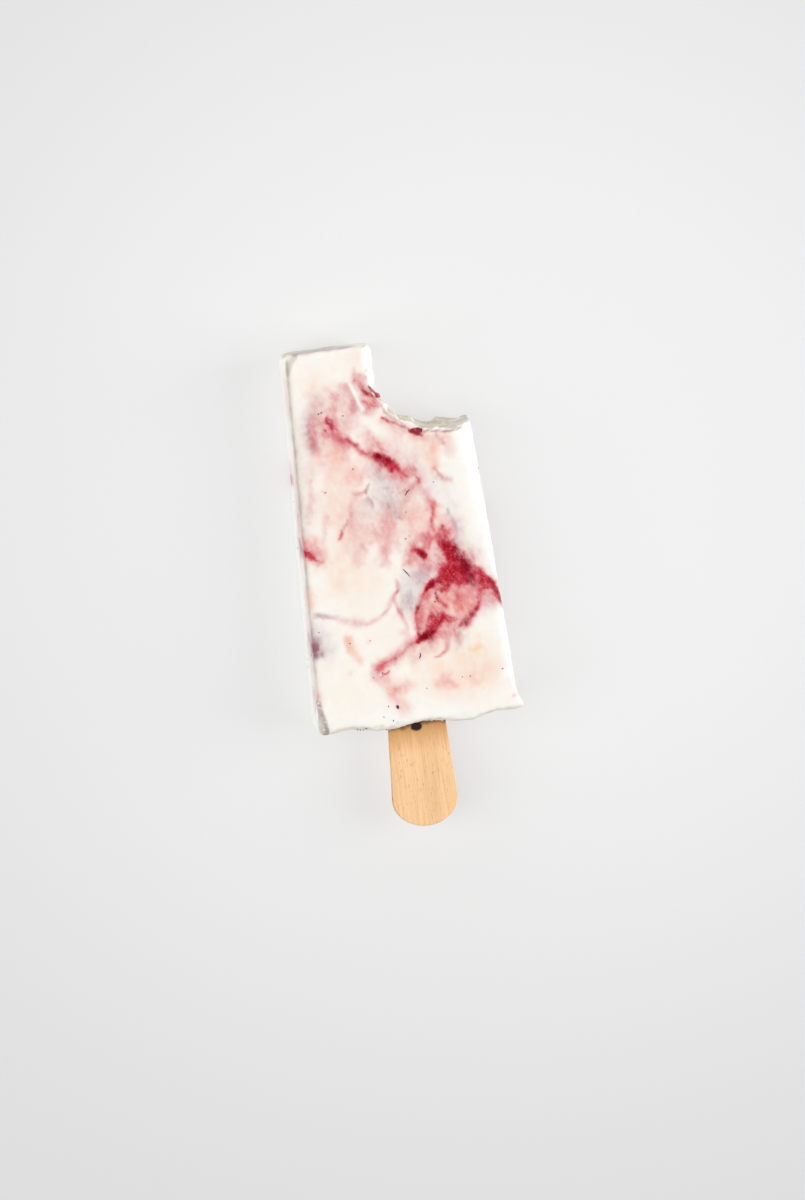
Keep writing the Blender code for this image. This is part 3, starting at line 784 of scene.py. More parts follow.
def yoghurt_material(look):
    """Frozen yoghurt with fruit rippled in by hand, frozen in a smooth mould: a milky, slightly uneven skin
    that light goes a little way into, with pulp and juice at many depths, and dull white frost on the
    bitten face. Olive grey shade is painted along the left edge, the tip's end, the corners, the mouth's edge
    and low in the bite, and white highlights are painted along the right edge, the folds and the sides.
    """
    material, tree, shader = new_material(
        "frozen_yoghurt_moulded", IOR=1.33, Specular_IOR_Level=0.1, Subsurface_Weight=0.22,
        Subsurface_Radius=(1.0, 0.7, 0.55), Subsurface_Scale=0.8 * MM,
    )
    place = add(tree, "TexCoord").outputs["Object"]
    amount = {
        name: add(tree, "Attribute", attribute_name=name).outputs["Fac"]
        for name in (*FLAVOURS, "frost", "painted_shade")
    }
    pulp = add(tree, "TexNoise", {"Vector": place, "Scale": per_metre(0.75), "Detail": 3.0}).outputs["Fac"]
    drawn_out = add(
        tree, "Mapping",
        {"Vector": place, "Rotation": (0, 0, math.radians(28)), "Scale": (1.7 * MM, 4.2 * MM, 2.5 * MM)},
        vector_type="TEXTURE",
    ).outputs["Vector"]
    threads = add(
        tree, "TexNoise", {"Vector": drawn_out, "Scale": 1.0, "Detail": 4.0, "Distortion": 2.2}
    ).outputs["Fac"]
    wisps = add(
        tree, "TexNoise",
        {"Vector": place, "Scale": per_metre(3.6), "Detail": 4.0, "Roughness": 0.55, "Distortion": 1.6},
    ).outputs["Fac"]

    def broken(source, *textures):
        """An amount made stronger and weaker by textures, by a little less than half of each one's depth."""
        for texture, depth in textures:
            swing = add(tree, "Math", {0: texture, 1: 2 * depth, 2: 1 - depth}, operation="MULTIPLY_ADD")
            source = add(tree, "Math", {0: source, 1: swing.outputs[0]}, operation="MULTIPLY").outputs[0]
        return source

    cloudy = add(tree, "MapRange", {0: wisps, 1: 0.35, 2: 0.65, 4: 0.3}).outputs[0]
    juice = broken(amount["crimson"], (wisps, 0.3), (pulp, 0.45), (threads, 0.45))
    spread = add(tree, "MapRange", {0: juice, 1: 0.02, 2: 0.7}, interpolation_type="SMOOTHSTEP").outputs[0]
    thin, thicker, thick = linear("E29A9C"), linear("D4707A"), linear("C23C4C")
    red = add(
        tree, "ValToRGB", {0: juice}, stops=((0.1, thin), (1.0, look.crimson), (0.4, thicker), (0.75, thick))
    ).outputs["Color"]
    crystals = add(tree, "MapRange", {0: pulp, 1: 0.56, 2: 0.68, 4: 0.3}).outputs[0]
    speckled = add(tree, "Math", {0: crystals, 1: spread}, operation="MULTIPLY").outputs[0]
    colour = layered(
        tree, look.cream,
        (look.white, cloudy),
        (look.peach, broken(amount["peach"], (wisps, 0.5))),
        (look.apricot, broken(amount["apricot"], (wisps, 0.8))),
        # white ice, with painted highlights along the right edge and the fold by the bite
        (look.white, amount["white"]),
        # painted shade in olive grey
        (look.painted_shade, broken(amount["painted_shade"], (wisps, 0.4))),
        (look.lavender, broken(amount["lavender"], (wisps, 0.6), (threads, 0.6))),
        (look.salmon, broken(amount["salmon"], (wisps, 0.5), (threads, 0.45))),
        (look.rose, broken(amount["rose"], (wisps, 0.6), (threads, 0.5))),
        (red, spread),
        (linear("E0A2A2"), speckled),
        (look.wine, broken(amount["wine"], (threads, 0.5), (pulp, 0.4))),
        # frost, with painted light on the sides and painted highlights along the folds
        (look.white, broken(amount["frost"], (pulp, 0.5))),
    )
    tree.links.new(colour, shader.inputs["Base Color"])

    rougher = add(tree, "Math", {0: amount["frost"], 1: 0.3, 2: 0.36}, operation="MULTIPLY_ADD").outputs[0]
    tree.links.new(rougher, shader.inputs["Roughness"])
    grain = add(tree, "TexNoise", {"Vector": place, "Scale": per_metre(0.32), "Detail": 2.0}).outputs["Fac"]
    relief = add(tree, "Math", {0: amount["frost"], 1: 0.8, 2: 0.12}, operation="MULTIPLY_ADD").outputs[0]
    bump = add(tree, "Bump", {"Strength": relief, "Distance": 0.12 * MM, "Height": grain}).outputs["Normal"]
    tree.links.new(bump, shader.inputs["Normal"])
    return material


def berry_material(look):
    """Frozen berry flesh, cut and glazed with ice: wet, deep red, and clear enough to glow at thin edges."""
    material, tree, shader = new_material(
        "berry_flesh_frozen", IOR=1.38, Roughness=0.16, Subsurface_Weight=0.2,
        Subsurface_Radius=(1.0, 0.2, 0.15), Subsurface_Scale=0.6 * MM, Coat_Weight=0.35, Coat_Roughness=0.08,
    )
    place = add(tree, "TexCoord").outputs["Object"]
    flesh = add(tree, "TexNoise", {"Vector": place, "Scale": per_metre(1.8), "Detail": 1.5}).outputs["Fac"]
    dark, icy = linear("6E121C"), linear("D4736E")
    colour = add(
        tree, "ValToRGB", {0: flesh}, stops=((0.35, dark), (0.68, icy), (0.52, look.skin))
    ).outputs["Color"]
    tree.links.new(colour, shader.inputs["Base Color"])
    bump = add(tree, "Bump", {"Strength": 0.3, "Distance": 0.08 * MM, "Height": flesh}).outputs["Normal"]
    tree.links.new(bump, shader.inputs["Normal"])
    return material


def seed_material(look):
    """Dried-out berry seed and fibre in the ice: dark, woody and dull."""
    material, tree, shader = new_material("berry_seed_woody", IOR=1.45, Roughness=0.5)
    place = add(tree, "TexCoord").outputs["Object"]
    husk = add(tree, "TexNoise", {"Vector": place, "Scale": per_metre(0.8), "Detail": 1.0}).outputs["Fac"]
    brown = linear("5E2A26")
    colour = add(tree, "ValToRGB", {0: husk}, stops=((0.35, look.seed), (0.7, brown))).outputs["Color"]
    tree.links.new(colour, shader.inputs["Base Color"])
    return material


def frost_material(look):
    """Crumbs of frost broken off the bar: bright, grainy and half clear at their edges."""
    material, tree, shader = new_material(
        "frost_crumbled", IOR=1.31, Roughness=0.42, Subsurface_Weight=0.3, Subsurface_Scale=0.5 * MM
    )
    place = add(tree, "TexCoord").outputs["Object"]
    grain = add(tree, "TexNoise", {"Vector": place, "Scale": per_metre(0.3), "Detail": 2.0}).outputs["Fac"]
    creamy = linear("EDEBE4")
    colour = add(tree, "ValToRGB", {0: grain}, stops=((0.3, creamy), (0.6, look.frost))).outputs["Color"]
    tree.links.new(colour, shader.inputs["Base Color"])
    bump = add(tree, "Bump", {"Strength": 0.4, "Distance": 0.06 * MM, "Height": grain}).outputs["Normal"]
    tree.links.new(bump, shader.inputs["Normal"])
    return material


def birch_material(look):
    """Birch sliced thin, stamped out and sanded: pale, dull wood with close lines and short flecks along its
    length, a little darker where it is damp from the ice, and with painted shade under the ice's edge and
    down its left edge. The lines are drawn coarser than real grain, so that they show.
    """
    material, tree, shader = new_material("birch_sliced_sanded", IOR=1.5, Specular_IOR_Level=0.3)
    place = add(tree, "TexCoord").outputs["Object"]

    def along_grain(wide, long, detail):
        """Noise drawn out along the stick, with features this wide and long."""
        scale = (per_metre(wide), per_metre(long), per_metre(wide))
        stretched = add(tree, "Mapping", {"Vector": place, "Scale": scale}).outputs["Vector"]
        return add(tree, "TexNoise", {"Vector": stretched, "Scale": 1.0, "Detail": detail}).outputs["Fac"]

    bands = along_grain(2.4, 45, 2.0)
    lines = along_grain(0.3, 12, 2.0)
    flecks = along_grain(0.26, 1.5, 1.0)
    banded = add(tree, "MapRange", {0: bands, 1: 0.38, 2: 0.72, 4: 0.45}).outputs[0]
    lined = add(tree, "MapRange", {0: lines, 1: 0.42, 2: 0.72, 4: 0.6}).outputs[0]
    flecked = add(tree, "MapRange", {0: flecks, 1: 0.64, 2: 0.74, 4: 0.6}).outputs[0]
    # damp near the ice, with painted shade under the ice's edge and down the left edge, in one attribute
    damp_and_shade = add(tree, "Attribute", attribute_name="damp_and_shade").outputs["Fac"]
    darkened = add(tree, "Math", {0: damp_and_shade, 1: 0.75}, operation="MULTIPLY").outputs[0]
    # the darkest share: a ragged line under the ice's edge and down the left edge, damp and painted shade
    # together
    soaked_and_shaded = add(tree, "MapRange", {0: damp_and_shade, 1: 0.93, 2: 1.0, 4: 0.85}).outputs[0]
    scorched = add(tree, "Attribute", attribute_name="scorch").outputs["Fac"]
    # wood colours for damp that also stand for painted shade
    wet_and_shaded_wood, drenched_and_shaded_wood = linear("C58C4C"), linear("5A3418")
    colour = layered(
        tree, look.wood,
        (look.grain, banded), (look.grain, lined), (look.fleck, flecked),
        (wet_and_shaded_wood, darkened), (drenched_and_shaded_wood, soaked_and_shaded), (look.scorch, scorched),
    )
    tree.links.new(colour, shader.inputs["Base Color"])
    dull = add(tree, "MapRange", {0: lines, 3: 0.55, 4: 0.72}).outputs[0]
    tree.links.new(dull, shader.inputs["Roughness"])
    relief = add(tree, "Math", {0: lines, 1: flecks}, operation="ADD").outputs[0]
    bump = add(tree, "Bump", {"Strength": 0.35, "Distance": 0.06 * MM, "Height": relief}).outputs["Normal"]
    tree.links.new(bump, shader.inputs["Normal"])
    return material


# ---- the bar ----


def swell(points, normals, wall, look):
    """The gentle rise and fall of the moulded faces, and the bumps of the frost on the sides."""
    size = look.swell / MM
    side = ease(0.8, 0.4, np.abs(normals[:, 2])) * (1 - wall)
    height = size * noise(points, 10, 41) + 0.5 * size * noise(points, 3.5, 42)
    height += side * (0.1 * noise(points, 1.6, 43) + 0.06 * noise(points, 0.8, 44))
    return points + normals * height[:, None] * (1 - wall)[:, None]


def crumble(points, normals, wall, look):
    """The bitten face: flutes from the teeth, broken crystals between them, and a ragged rim."""
    size = look.crumble / MM
    flutes = crests(points, 1.9, 51, (1, 1, 3.5))
    crystals = crests(points, 0.95, 52)
    height = size * (0.9 * flutes + 0.55 * crystals + 0.7 * noise(points, 4.0, 53) - 0.7)
    return points + normals * (height * wall)[:, None]


def nibbled_edges(points):
    """Small losses along the front's edge at the tip, the mouth and the bite."""
    inside = from_bite(points)[0]
    high = ease(3.0, 0.6, front_height(points[:, 1]) - points[:, 2])
    at_tip = ease(TIP - 1.8, TIP - 0.4, points[:, 1])
    at_mouth = ease(MOUTH + 1.6, MOUTH - 0.2, points[:, 1])
    at_bite = ease(1.4, 0.2, inside)
    loss = np.clip(noise(points, 1.7, 61) + 0.6 * noise(points, 0.8, 62), 0, 1)
    lost = high * loss * (0.3 * at_tip + 0.45 * at_mouth + 0.2 * at_bite)
    points = points.copy()
    points[:, 2] -= lost * 0.8
    points[:, 1] += lost * (at_mouth - at_tip) * 0.6
    return points


def broken_corners(points):
    """The corner of the tip that was knocked flat, and the melted corner of the mouth."""
    points = shave(points, (-22.9, 46.4, 20.0), (-0.38, 0.33, 0.86))
    return shave(points, (-26.5, -39.0, 21.7), (-0.62, -0.16, 0.76))


def welts(points, normals):
    """Folds in the skin by the bite, as lines raised on the front with a hollow beside them."""
    front = ease(0.5, 0.9, normals[:, 2])
    height = np.zeros(len(points))
    for line, width, rise in (
        (FOLD, 0.4, 0.4),
        ([(x + 0.95, y + 0.2) for x, y in FOLD], 0.5, -0.3),
        ([(15.0, 24.6), (15.4, 23.0), (16.6, 21.6)], 0.5, 0.4),
        ([(15.9, 24.6), (16.3, 23.2), (17.4, 22.2)], 0.5, -0.25),
        ([(12.0, 24.9), (13.6, 24.6)], 0.6, 0.2),
        ([(1.0, 32.4), (5.4, 28.2)], 0.5, 0.15),
    ):
        height += rise * near_line(points, line, width)
    points = points.copy()
    points[:, 2] += height * front
    return points


def frozen_to_stick(points, normals):
    """The collar that froze round the stick, the skin of the mouth with its burst bubbles, and the slot's
    walls, which close on the stick.
    """
    mouth = ease(-0.4, -0.8, normals[:, 1]) * ease(MOUTH + 4, MOUTH + 1.5, points[:, 1])
    middle_x = (STICK_LOW[0] + STICK_HIGH[0]) / 2 + 0.4
    middle_z = MOUTH_THICKNESS / 2
    out_x = np.clip(np.abs(points[:, 0] - middle_x) - 7.8, 0, None)
    out_z = np.clip(np.abs(points[:, 2] - middle_z) - 1.1, 0, None)
    gap = np.hypot(out_x, out_z)
    collar = 0.9 * near(gap, 1.3) * (1 + 0.5 * noise(points, 1.6, 71))
    bubbles = 0.45 * ease(0.45, 0.7, noise(points, 1.5, 72))
    rough = 0.25 * noise(points, 3.2, 73) + 0.1 * noise(points, 1.1, 74)
    points = points.copy()
    points[:, 1] -= mouth * (collar + rough - bubbles)
    in_slot = (gap < 0.35) * ease(MOUTH + 2.5, MOUTH + 0.5, points[:, 1]) * (np.abs(normals[:, 1]) < 0.6)
    return points + normals * (0.22 * in_slot)[:, None]


def frost_and_painted_light_on(points, normals, wall):
    """Where the bar is white with frost and with painted light: frost on the bitten face, the bite's rim and
    the melted corner, the sides whitened partly by frost and partly as painted light, and painted highlights
    along the folds by the bite.
    """
    # the sides, whitened partly by frost and partly as painted light from the side lamps
    side = ease(0.75, 0.3, np.abs(normals[:, 2])) * (1 - wall) * ease(0.7, 0.3, normals[:, 1])
    left = side * (normals[:, 0] < 0)
    # painted highlights along the two folds by the bite
    fold_highlight = near_line(points, FOLD, 0.3) + 0.7 * near_line(points, SHORT_FOLD, 0.3)
    fold_highlight *= ease(0.5, 0.9, normals[:, 2])
    low_in_bite = ease(0.3, 0.8, normals[:, 1])
    patches = ease(-0.1, 0.5, noise(points, 2.6, 81) + 0.4 * noise(points, 0.9, 82))
    corner = near(np.hypot(points[:, 0] + 26, points[:, 1] + 46), 3.0)
    rim = ease(1.0, 0.0, from_bite(points)[0]) * ease(0.4, 0.9, normals[:, 2])
    corner_side = left * ease(5.0, 2.0, np.hypot(points[:, 1] + 46, points[:, 2] - 20))
    frost = 0.7 * (1 - low_in_bite) * wall + 0.5 * corner_side + 0.2 * side + 0.1 * left + 0.8 * fold_highlight
    return np.clip(frost + patches * (0.35 * corner + 0.12 * rim), 0, 1)


def painted_shade_on(points, normals, wall):
    """Where shade is painted in, as an olive grey: a line inside the left edge, the tip's end, the corners,
    the mouth's edge and low in the bite.
    """
    under_front = front_height(points[:, 1]) - points[:, 2]
    high = ease(4.0, 1.0, under_front)
    from_left = points[:, 0] + half_width(points[:, 1])
    # painted shade along the line where the front rounds over to the left side
    line = near(from_left - 0.15, 0.42) + 0.25 * ease(2.2, 0.3, from_left)
    line *= high * ease(-0.1, 0.3, normals[:, 2]) * (0.85 + 0.3 * noise(points, 5, 84))
    # painted shade on the tip's end, which faces away from the lamps
    end = ease(0.35, 0.8, normals[:, 1]) * ease(TIP - 2.5, TIP - 0.8, points[:, 1]) * (1 - wall)
    end *= ease(2.0, 9.0, under_front + 3 * noise(points, 3, 86)) * ease(-1.0, -9.0, points[:, 0])
    end *= 0.34 + 0.16 * ease(7.0, 13.0, under_front) + 0.25 * noise(points, 4, 87)
    # painted shade on the facets of the two broken corners
    corners = high * near_line(points, MOUTH_CORNER, 0.85, CRISP)
    corners += 0.4 * high * near_line(points, TIP_CORNER, 0.75, CRISP)
    # painted shade low on the bitten face and on the mouth's edge
    low_wall = wall * ease(0.3, 0.8, normals[:, 1]) * (0.8 + 0.4 * noise(points, 2.0, 85))
    mouth = high * ease(0.2, 0.7, -normals[:, 1]) * ease(MOUTH + 3, MOUTH + 1, points[:, 1])
    return np.clip(0.6 * line + end + corners + 0.62 * low_wall + 0.3 * mouth, 0, 1)


class ICEPOP_OT_bar(bpy.types.Operator):
    """Make the frozen yoghurt bar in place of the CAD bar"""

    bl_idname = "icepop.bar"
    bl_label = "Frozen Bar"

    def execute(self, context):
        look = context.scene.ice_pop_bar
        bar = fine_copy("ice_bar", "frozen_yoghurt_bar", look.spacing)
        mesh = bar.data
        points = points_of(mesh)
        normals = normals_of(mesh)
        wall = bitten(points, normals)
        for name, amount in ripple(points).items():
            hold(mesh, name, amount)
        shaped = swell(points, normals, wall, look)
        shaped = crumble(shaped, normals, wall, look)
        shaped = welts(shaped, normals)
        shaped = nibbled_edges(shaped)
        shaped = broken_corners(shaped)
        shaped = frozen_to_stick(shaped, normals)
        shaped = np.clip(shaped, BAR_LOW - (SPREAD, COLLAR, 0), BAR_HIGH + SPREAD)
        move_points(mesh, shaped)
        normals = normals_of(mesh)
        # frost, with painted light on the sides and painted highlights along the folds
        hold(mesh, "frost", frost_and_painted_light_on(points, normals, wall))
        # painted shade, kept for the material to lay in olive grey
        hold(mesh, "painted_shade", painted_shade_on(points, normals, wall))
        mesh.materials.clear()
        mesh.materials.append(yoghurt_material(look))
        settle(bar, "ice", "ice_bar")
        return {"FINISHED"}


# ---- fruit and frost ----


def bar_surface():
    """The finished bar as a surface that rays can meet."""
    bar = bpy.data.objects.get("frozen_yoghurt_bar")
    if bar is None:
        raise RuntimeError("make the frozen bar first")
    return surface_of(bar.data)


def meet(surface, start, direction):
    """Where a ray from a point meets the bar, and the way the bar faces there."""
    place, facing, _, _ = surface.ray_cast(Vector(start) * MM, Vector(direction))
    if place is None:
        return None, None
    return np.array(place) / MM, np.array(facing)


def on_front(surface, x, y):
    """The point of the front at x and y, and the way it faces."""
    place, facing = meet(surface, (x, y, 60), (0, 0, -1))
    if place is None:
        raise RuntimeError(f"nothing of the bar is under {x}, {y}")
    return place, facing


class ICEPOP_OT_chips(bpy.types.Operator):
    """Make the two chips of frozen berry that stick out of the bite's edge"""

    bl_idname = "icepop.chips"
    bl_label = "Berry Chips"

    def execute(self, context):
        draw = random.Random(11)
        flesh = berry_material(context.scene.ice_pop_fruit)
        block, faces = chunk((3.7, 2.0, 1.7), 12, draw, 4)
        block = turned(block, (9.0, 26.6, front_height(26) + 0.35), (0.05, 0.2, 1), math.radians(-20))
        settle(new_piece("berry_chip_block", block, faces, flesh), "ice")
        height = front_height(38) + 0.3
        lumps = []
        for size, x, y in (((5.0, 0.75, 1.4), -0.85, 38.0), ((2.1, 1.2, 1.5), 0.0, 36.95)):
            points, faces = chunk(size, 9, draw, 4)
            lumps.append((turned(points, (x, y, height), (0.1, 0.05, 1), math.radians(-53)), faces))
        settle(joined("berry_chip_sliver", lumps, flesh), "ice")
        return {"FINISHED"}


class ICEPOP_OT_seeds(bpy.types.Operator):
    """Make the berry seeds and fibres in the bar's skin"""

    bl_idname = "icepop.seeds"
    bl_label = "Seeds and Fibres"

    def seed_lump(self, size, place, facing, draw):
        """A drop-shaped seed lying half sunk in the skin."""
        points, faces = ball(2)
        taper = 1 - 0.35 * points[:, :1]
        points = points * (0.5, 0.32, 0.26) * np.hstack([np.ones_like(taper), taper, taper]) * size
        return turned(points, place, facing, draw.uniform(0, math.tau)), faces

    def fibre_lump(self, line, width, surface):
        """A bent fibre lying on the skin, thinner at its ends."""
        steps = 14
        sides = 6
        line = np.array(line)
        runs = np.linspace(0, len(line) - 1, steps)
        flat = np.stack([np.interp(runs, range(len(line)), line[:, axis]) for axis in (0, 1)], axis=1)
        for _ in range(2):
            flat[1:-1] = (flat[:-2] + 2 * flat[1:-1] + flat[2:]) / 4
        centres = np.array([on_front(surface, *place)[0] for place in flat])
        points = []
        for step, centre in enumerate(centres):
            along = centres[min(step + 1, steps - 1)] - centres[max(step - 1, 0)]
            across = np.array((-along[1], along[0], 0)) / np.hypot(*along[:2])
            radius = width / 2 * (0.35 + 0.65 * math.sin(math.pi * (step + 0.5) / steps))
            for side in range(sides):
                turn = math.tau * side / sides
                rise = np.array((0, 0, math.sin(turn) + 0.2))
                points.append(centre + radius * (across * math.cos(turn) + rise))
        faces = [list(reversed(range(sides))), [(steps - 1) * sides + side for side in range(sides)]]
        for step in range(steps - 1):
            for side in range(sides):
                low = step * sides + side
                next_low = step * sides + (side + 1) % sides
                faces.append([low, next_low, next_low + sides, low + sides])
        return np.array(points), faces

    def execute(self, context):
        look = context.scene.ice_pop_fruit
        draw = random.Random(23)
        surface = bar_surface()
        husk = seed_material(look)
        size = look.seed_size / MM
        lumps = []
        for x, y in SEEDS:
            lumps.append(self.seed_lump(size * draw.uniform(0.45, 0.8), *on_front(surface, x, y), draw))
        lumps.append(self.seed_lump(size * 1.65, *on_front(surface, *BIG_SEED), draw))
        for x in MOUTH_BITS:
            lumps.append(self.seed_lump(size * 0.9, *meet(surface, (x, -70, 20.9), (0, 1, 0)), draw))
        for _ in range(BACK_SEEDS):
            x, y = draw.uniform(-22, 22), draw.uniform(-46, 22)
            place, facing = meet(surface, (x, y, -40), (0, 0, 1))
            lumps.append(self.seed_lump(size * draw.uniform(0.4, 0.9), place, facing, draw))
        for side in (-1, 1):
            for _ in range(SIDE_SEEDS):
                start = (side * 60, draw.uniform(-46, 22), draw.uniform(3, 18))
                length_here = size * draw.uniform(0.3, 0.7)
                lumps.append(self.seed_lump(length_here, *meet(surface, start, (-side, 0, 0)), draw))
        settle(joined("berry_seeds", lumps, husk), "ice")
        width = look.fibre_width / MM
        fibres = [self.fibre_lump(line, width, surface) for line in FIBRES]
        settle(joined("berry_fibres", fibres, husk), "ice")
        return {"FINISHED"}


class ICEPOP_OT_frost(bpy.types.Operator):
    """Scatter crumbs of frost at the stick, the melted corner, the tip's edge and the bite"""

    bl_idname = "icepop.frost"
    bl_label = "Frost Crumbs"

    def spot(self, draw, surface):
        """Where a crumb may lie, the way the bar faces there, and how large the crumb may be, from 0 to 1."""
        lot = draw.random()
        if lot < 0.3:  # on the mouth, most of them above the stick
            x = draw.uniform(-9, 8)
            heights = (11.8, 21.6) if draw.random() < 0.8 else (2, 10)
            return (*meet(surface, (x, -70, draw.uniform(*heights)), (0, 1, 0)), 1.0)
        if lot < 0.36:  # on the front's edge over the stick
            x, y = draw.uniform(-8, 7), draw.uniform(-50.4, -49.2)
            return (*meet(surface, (x, y, 60), (0, 0, -1)), 0.8)
        if lot < 0.52:  # down the melted corner
            share = draw.random()
            x = -26.2 + 2.4 * share * draw.random() + draw.gauss(0, 0.3)
            return (*meet(surface, (x, -40 - 9.5 * share, 60), (0, 0, -1)), 0.8)
        if lot < 0.64:  # along the tip's edge
            y = TIP - abs(draw.gauss(0.5, 0.5)) - 0.3
            return (*meet(surface, (draw.uniform(-21.5, -3.5), y, 60), (0, 0, -1)), 0.6)
        # on the bitten face
        turn = draw.uniform(0.02, 0.98) * math.pi / 2
        aim = (-math.cos(turn), -math.sin(turn), draw.uniform(-0.1, 0.25))
        start = (*BITE_CENTRE, draw.uniform(8, 16))
        return (*meet(surface, start, aim), 0.75)

    def execute(self, context):
        look = context.scene.ice_pop_fruit
        draw = random.Random(37)
        surface = bar_surface()
        lumps = []
        while len(lumps) < look.crumbs:
            place, facing, largest = self.spot(draw, surface)
            size = look.crumb_size / MM * largest * draw.uniform(0.25, 1) ** 1.6
            shape = [size * draw.uniform(0.7, 1.2) for _ in range(3)]
            points, faces = chunk(shape, 7, draw)
            if place is not None:
                lumps.append((turned(points, place, facing, draw.uniform(0, math.tau)), faces))
        settle(joined("frost_crumbs", lumps, frost_material(look)), "ice")
        return {"FINISHED"}


# ---- the stick ----


class ICEPOP_OT_stick(bpy.types.Operator):
    """Make the birch stick in place of the CAD stick"""

    bl_idname = "icepop.stick"
    bl_label = "Birch Stick"

    def execute(self, context):
        look = context.scene.ice_pop_stick
        stick = fine_copy("stick", "birch_stick", look.spacing)
        mesh = stick.data
        points = points_of(mesh)
        normals = normals_of(mesh)
        fibres = noise(points, 0.55, 91, (1, 22, 1))
        edge = ease(0.9, 0.5, np.abs(normals[:, 2]))
        torn = np.clip(noise(points, 0.7, 92, (1, 2.5, 1)) - 0.35, 0, 1)
        height = 0.025 * fibres - edge * (0.18 * torn + 0.03 + 0.05 * noise(points, 2.0, 93, (1, 3, 1)))
        move_points(mesh, points + normals * height[:, None])
        # darker near the ice, as damp wood and as painted shade under the ice's edge
        out_of_ice = MOUTH - points[:, 1]
        out_of_ice += 0.5 * noise(points, 1.2, 94, (1, 2, 1)) + 0.9 * noise(points, 5, 96)
        # a painted line of shade down the stick's left edge, held with the damp
        darkened = edge * ease(-0.3, -0.7, normals[:, 0]) * (0.93 + 0.08 * noise(points, 2.2, 97))
        hold(mesh, "damp_and_shade", np.clip(np.maximum(ease(11.0, 0.9, out_of_ice), darkened), 0, 1))
        top = ease(0.3, 0.7, normals[:, 2])
        (x, y), (wide, long) = SCORCH_MIDDLE, SCORCH_REACH
        oval = np.hypot((points[:, 0] - x) / wide, (points[:, 1] - y) / long)
        hold(mesh, "scorch", top * ease(1.1, 0.9, oval + 0.12 * noise(points, 0.5, 95)))
        mesh.materials.clear()
        mesh.materials.append(birch_material(look))
        settle(stick, "stick", "stick")
        return {"FINISHED"}


# ---- the stage ----


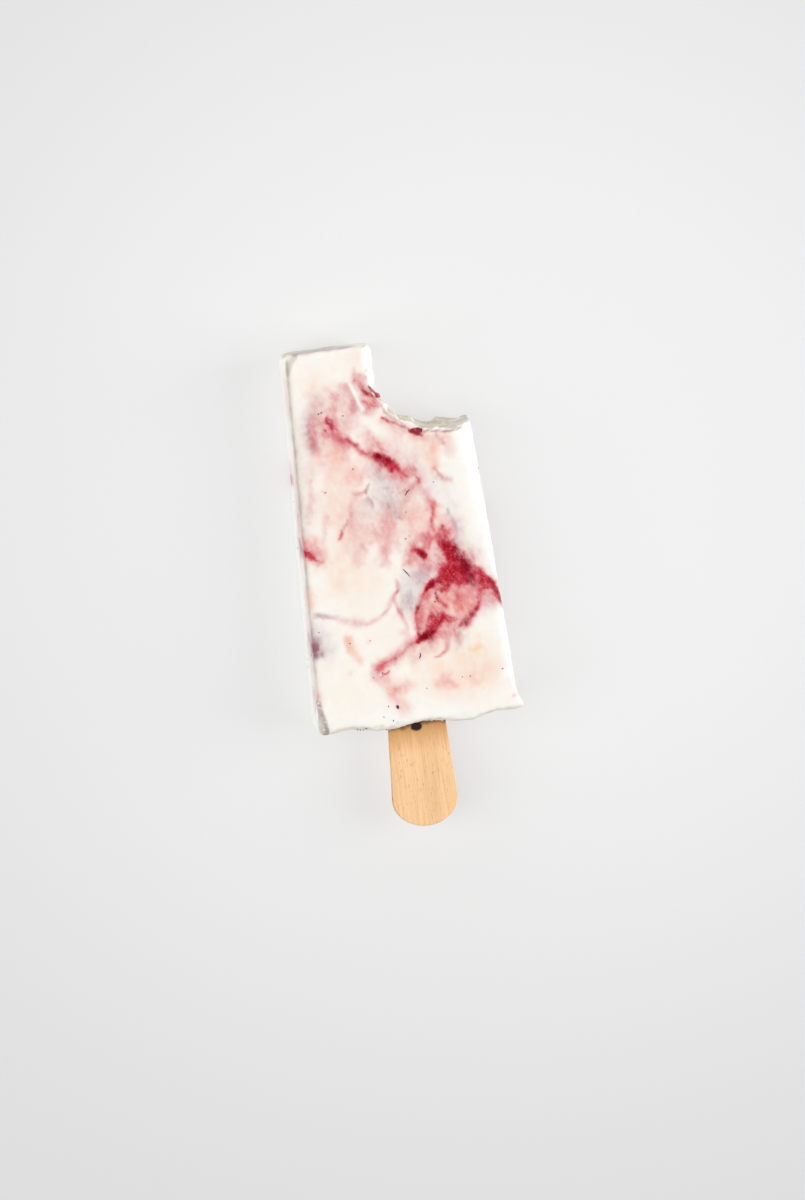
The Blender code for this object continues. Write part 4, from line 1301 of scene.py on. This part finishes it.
class ICEPOP_OT_stage(bpy.types.Operator):
    """Make the pale floor, the soft light from both sides and the camera"""

    bl_idname = "icepop.stage"
    bl_label = "Stage"

    def make_floor(self, look):
        """A wide sheet of pale, matt card that gives off some light, so that shadows on it stay faint."""
        reach = 3.0
        brightest = (0.03, 0.008, 0)
        fall = 0.13  # how much less it glows away from there
        corners = [(x * reach, y * reach, -0.1 * MM) for x, y in ((-1, -1), (1, -1), (1, 1), (-1, 1))]
        mesh = bpy.data.meshes.new("pale_floor")
        mesh.from_pydata(corners, [], [(0, 1, 2, 3)])
        material, tree, shader = new_material(
            "card_matt_pale", Base_Color=look.floor, Roughness=0.9, Specular_IOR_Level=0.1,
            Emission_Color=(1, 1, 1, 1),
        )
        place = add(tree, "TexCoord").outputs["Object"]
        offset = add(tree, "VectorMath", {0: place, 1: brightest}, operation="SUBTRACT").outputs[0]
        away = add(tree, "VectorMath", {0: offset}, operation="LENGTH").outputs["Value"]
        glow = add(
            tree, "MapRange", {0: away, 1: 0.05, 2: 0.24, 3: look.glow, 4: look.glow - fall},
            interpolation_type="SMOOTHSTEP",
        ).outputs[0]
        tree.links.new(glow, shader.inputs["Emission Strength"])
        mesh.materials.append(material)
        floor = bpy.data.objects.new("pale_floor", mesh)
        bpy.context.scene.collection.objects.link(floor)
        floor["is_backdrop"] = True

    def make_light(self, name, place, size, watts, middle):
        """A soft light whose face is turned to the middle of the ice pop."""
        light = bpy.data.lights.new(name, "AREA")
        light.shape = "RECTANGLE"
        light.size, light.size_y = size
        light.energy = watts
        lamp = bpy.data.objects.new(name, light)
        lamp.location = place
        lamp.rotation_euler = (middle - Vector(place)).to_track_quat("-Z", "Y").to_euler()
        lamp.visible_camera = False
        bpy.context.scene.collection.objects.link(lamp)

    def make_room(self, look):
        """A room whose walls are pale near the floor and dim above."""
        world = bpy.data.worlds.new("studio_room")
        bpy.context.scene.world = world
        world.use_nodes = True
        tree = world.node_tree
        direction = add(tree, "TexCoord").outputs["Generated"]
        up = add(tree, "SeparateXYZ", {0: direction}).outputs["Z"]
        high = add(tree, "MapRange", {0: up, 1: 0.14, 2: 0.3, 3: 0.84, 4: look.room}).outputs[0]
        tree.links.new(high, tree.nodes["Background"].inputs["Strength"])
        tree.nodes["Background"].inputs["Color"].default_value = (1, 1, 1, 1)

    def make_camera(self, look):
        """A long lens nearly overhead, a little to the left and towards the tip, and turned a few degrees."""
        target = Vector((-0.00045, -0.0175, 0.021))
        back = Vector((-0.0964, 0.1027, 1)).normalized()
        turn = math.radians(7.29)
        seen = 0.3175  # how much the camera sees at the target, from top to bottom
        up = Vector((math.sin(turn), math.cos(turn), 0))
        across = up.cross(back).normalized()
        data = bpy.data.cameras.new("camera")
        data.sensor_width = 36
        data.lens = data.sensor_width * look.distance / seen
        data.clip_end = 20
        camera = bpy.data.objects.new("camera", data)
        rotation = Matrix((across, back.cross(across), back)).transposed()
        camera.matrix_world = Matrix.LocRotScale(target + back * look.distance, rotation, None)
        bpy.context.scene.collection.objects.link(camera)
        bpy.context.scene.camera = camera

    def execute(self, context):
        look = context.scene.ice_pop_stage
        low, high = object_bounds()
        middle = (low + high) / 2
        self.make_floor(look)
        self.make_light("left_light", (-0.64, 0.0, 0.82), (0.7, 1.2), look.left, middle)
        self.make_light("right_light", (0.85, -0.05, 0.45), (0.6, 1.2), look.right, middle)
        self.make_light("tip_light", (-0.1, 0.95, 0.34), (1.0, 0.4), look.tip, middle)
        self.make_room(look)
        self.make_camera(look)
        context.scene.view_settings.view_transform = "Standard"
        return {"FINISHED"}


# ---- the panel ----

STEPS = (ICEPOP_OT_bar, ICEPOP_OT_chips, ICEPOP_OT_seeds, ICEPOP_OT_frost, ICEPOP_OT_stick, ICEPOP_OT_stage)
GROUPS = {
    "ice_pop_bar": IcePopBar,
    "ice_pop_fruit": IcePopFruit,
    "ice_pop_stick": IcePopStick,
    "ice_pop_stage": IcePopStage,
}


class ICEPOP_PT_panel(bpy.types.Panel):
    """The ice pop's pieces, with their sizes and colours"""

    bl_idname = "ICEPOP_PT_panel"
    bl_label = "Ice Pop"
    bl_space_type = "VIEW_3D"
    bl_region_type = "UI"
    bl_category = "Ice Pop"

    def draw(self, context):
        for step in STEPS:
            self.layout.operator(step.bl_idname)
        for name, group in GROUPS.items():
            box = self.layout.box()
            box.label(text=group.__name__)
            for key in group.__annotations__:
                box.prop(getattr(context.scene, name), key)


def register():
    for cls in (*GROUPS.values(), *STEPS, ICEPOP_PT_panel):
        bpy.utils.register_class(cls)
    for name, group in GROUPS.items():
        setattr(bpy.types.Scene, name, PointerProperty(type=group))


def unregister():
    for name in GROUPS:
        delattr(bpy.types.Scene, name)
    for cls in reversed((*GROUPS.values(), *STEPS, ICEPOP_PT_panel)):
        bpy.utils.unregister_class(cls)


def main():
    register()
    bpy.ops.icepop.bar()
    bpy.ops.icepop.chips()
    bpy.ops.icepop.seeds()
    bpy.ops.icepop.frost()
    bpy.ops.icepop.stick()
    bpy.ops.icepop.stage()


if __name__ == "__main__":
    main()
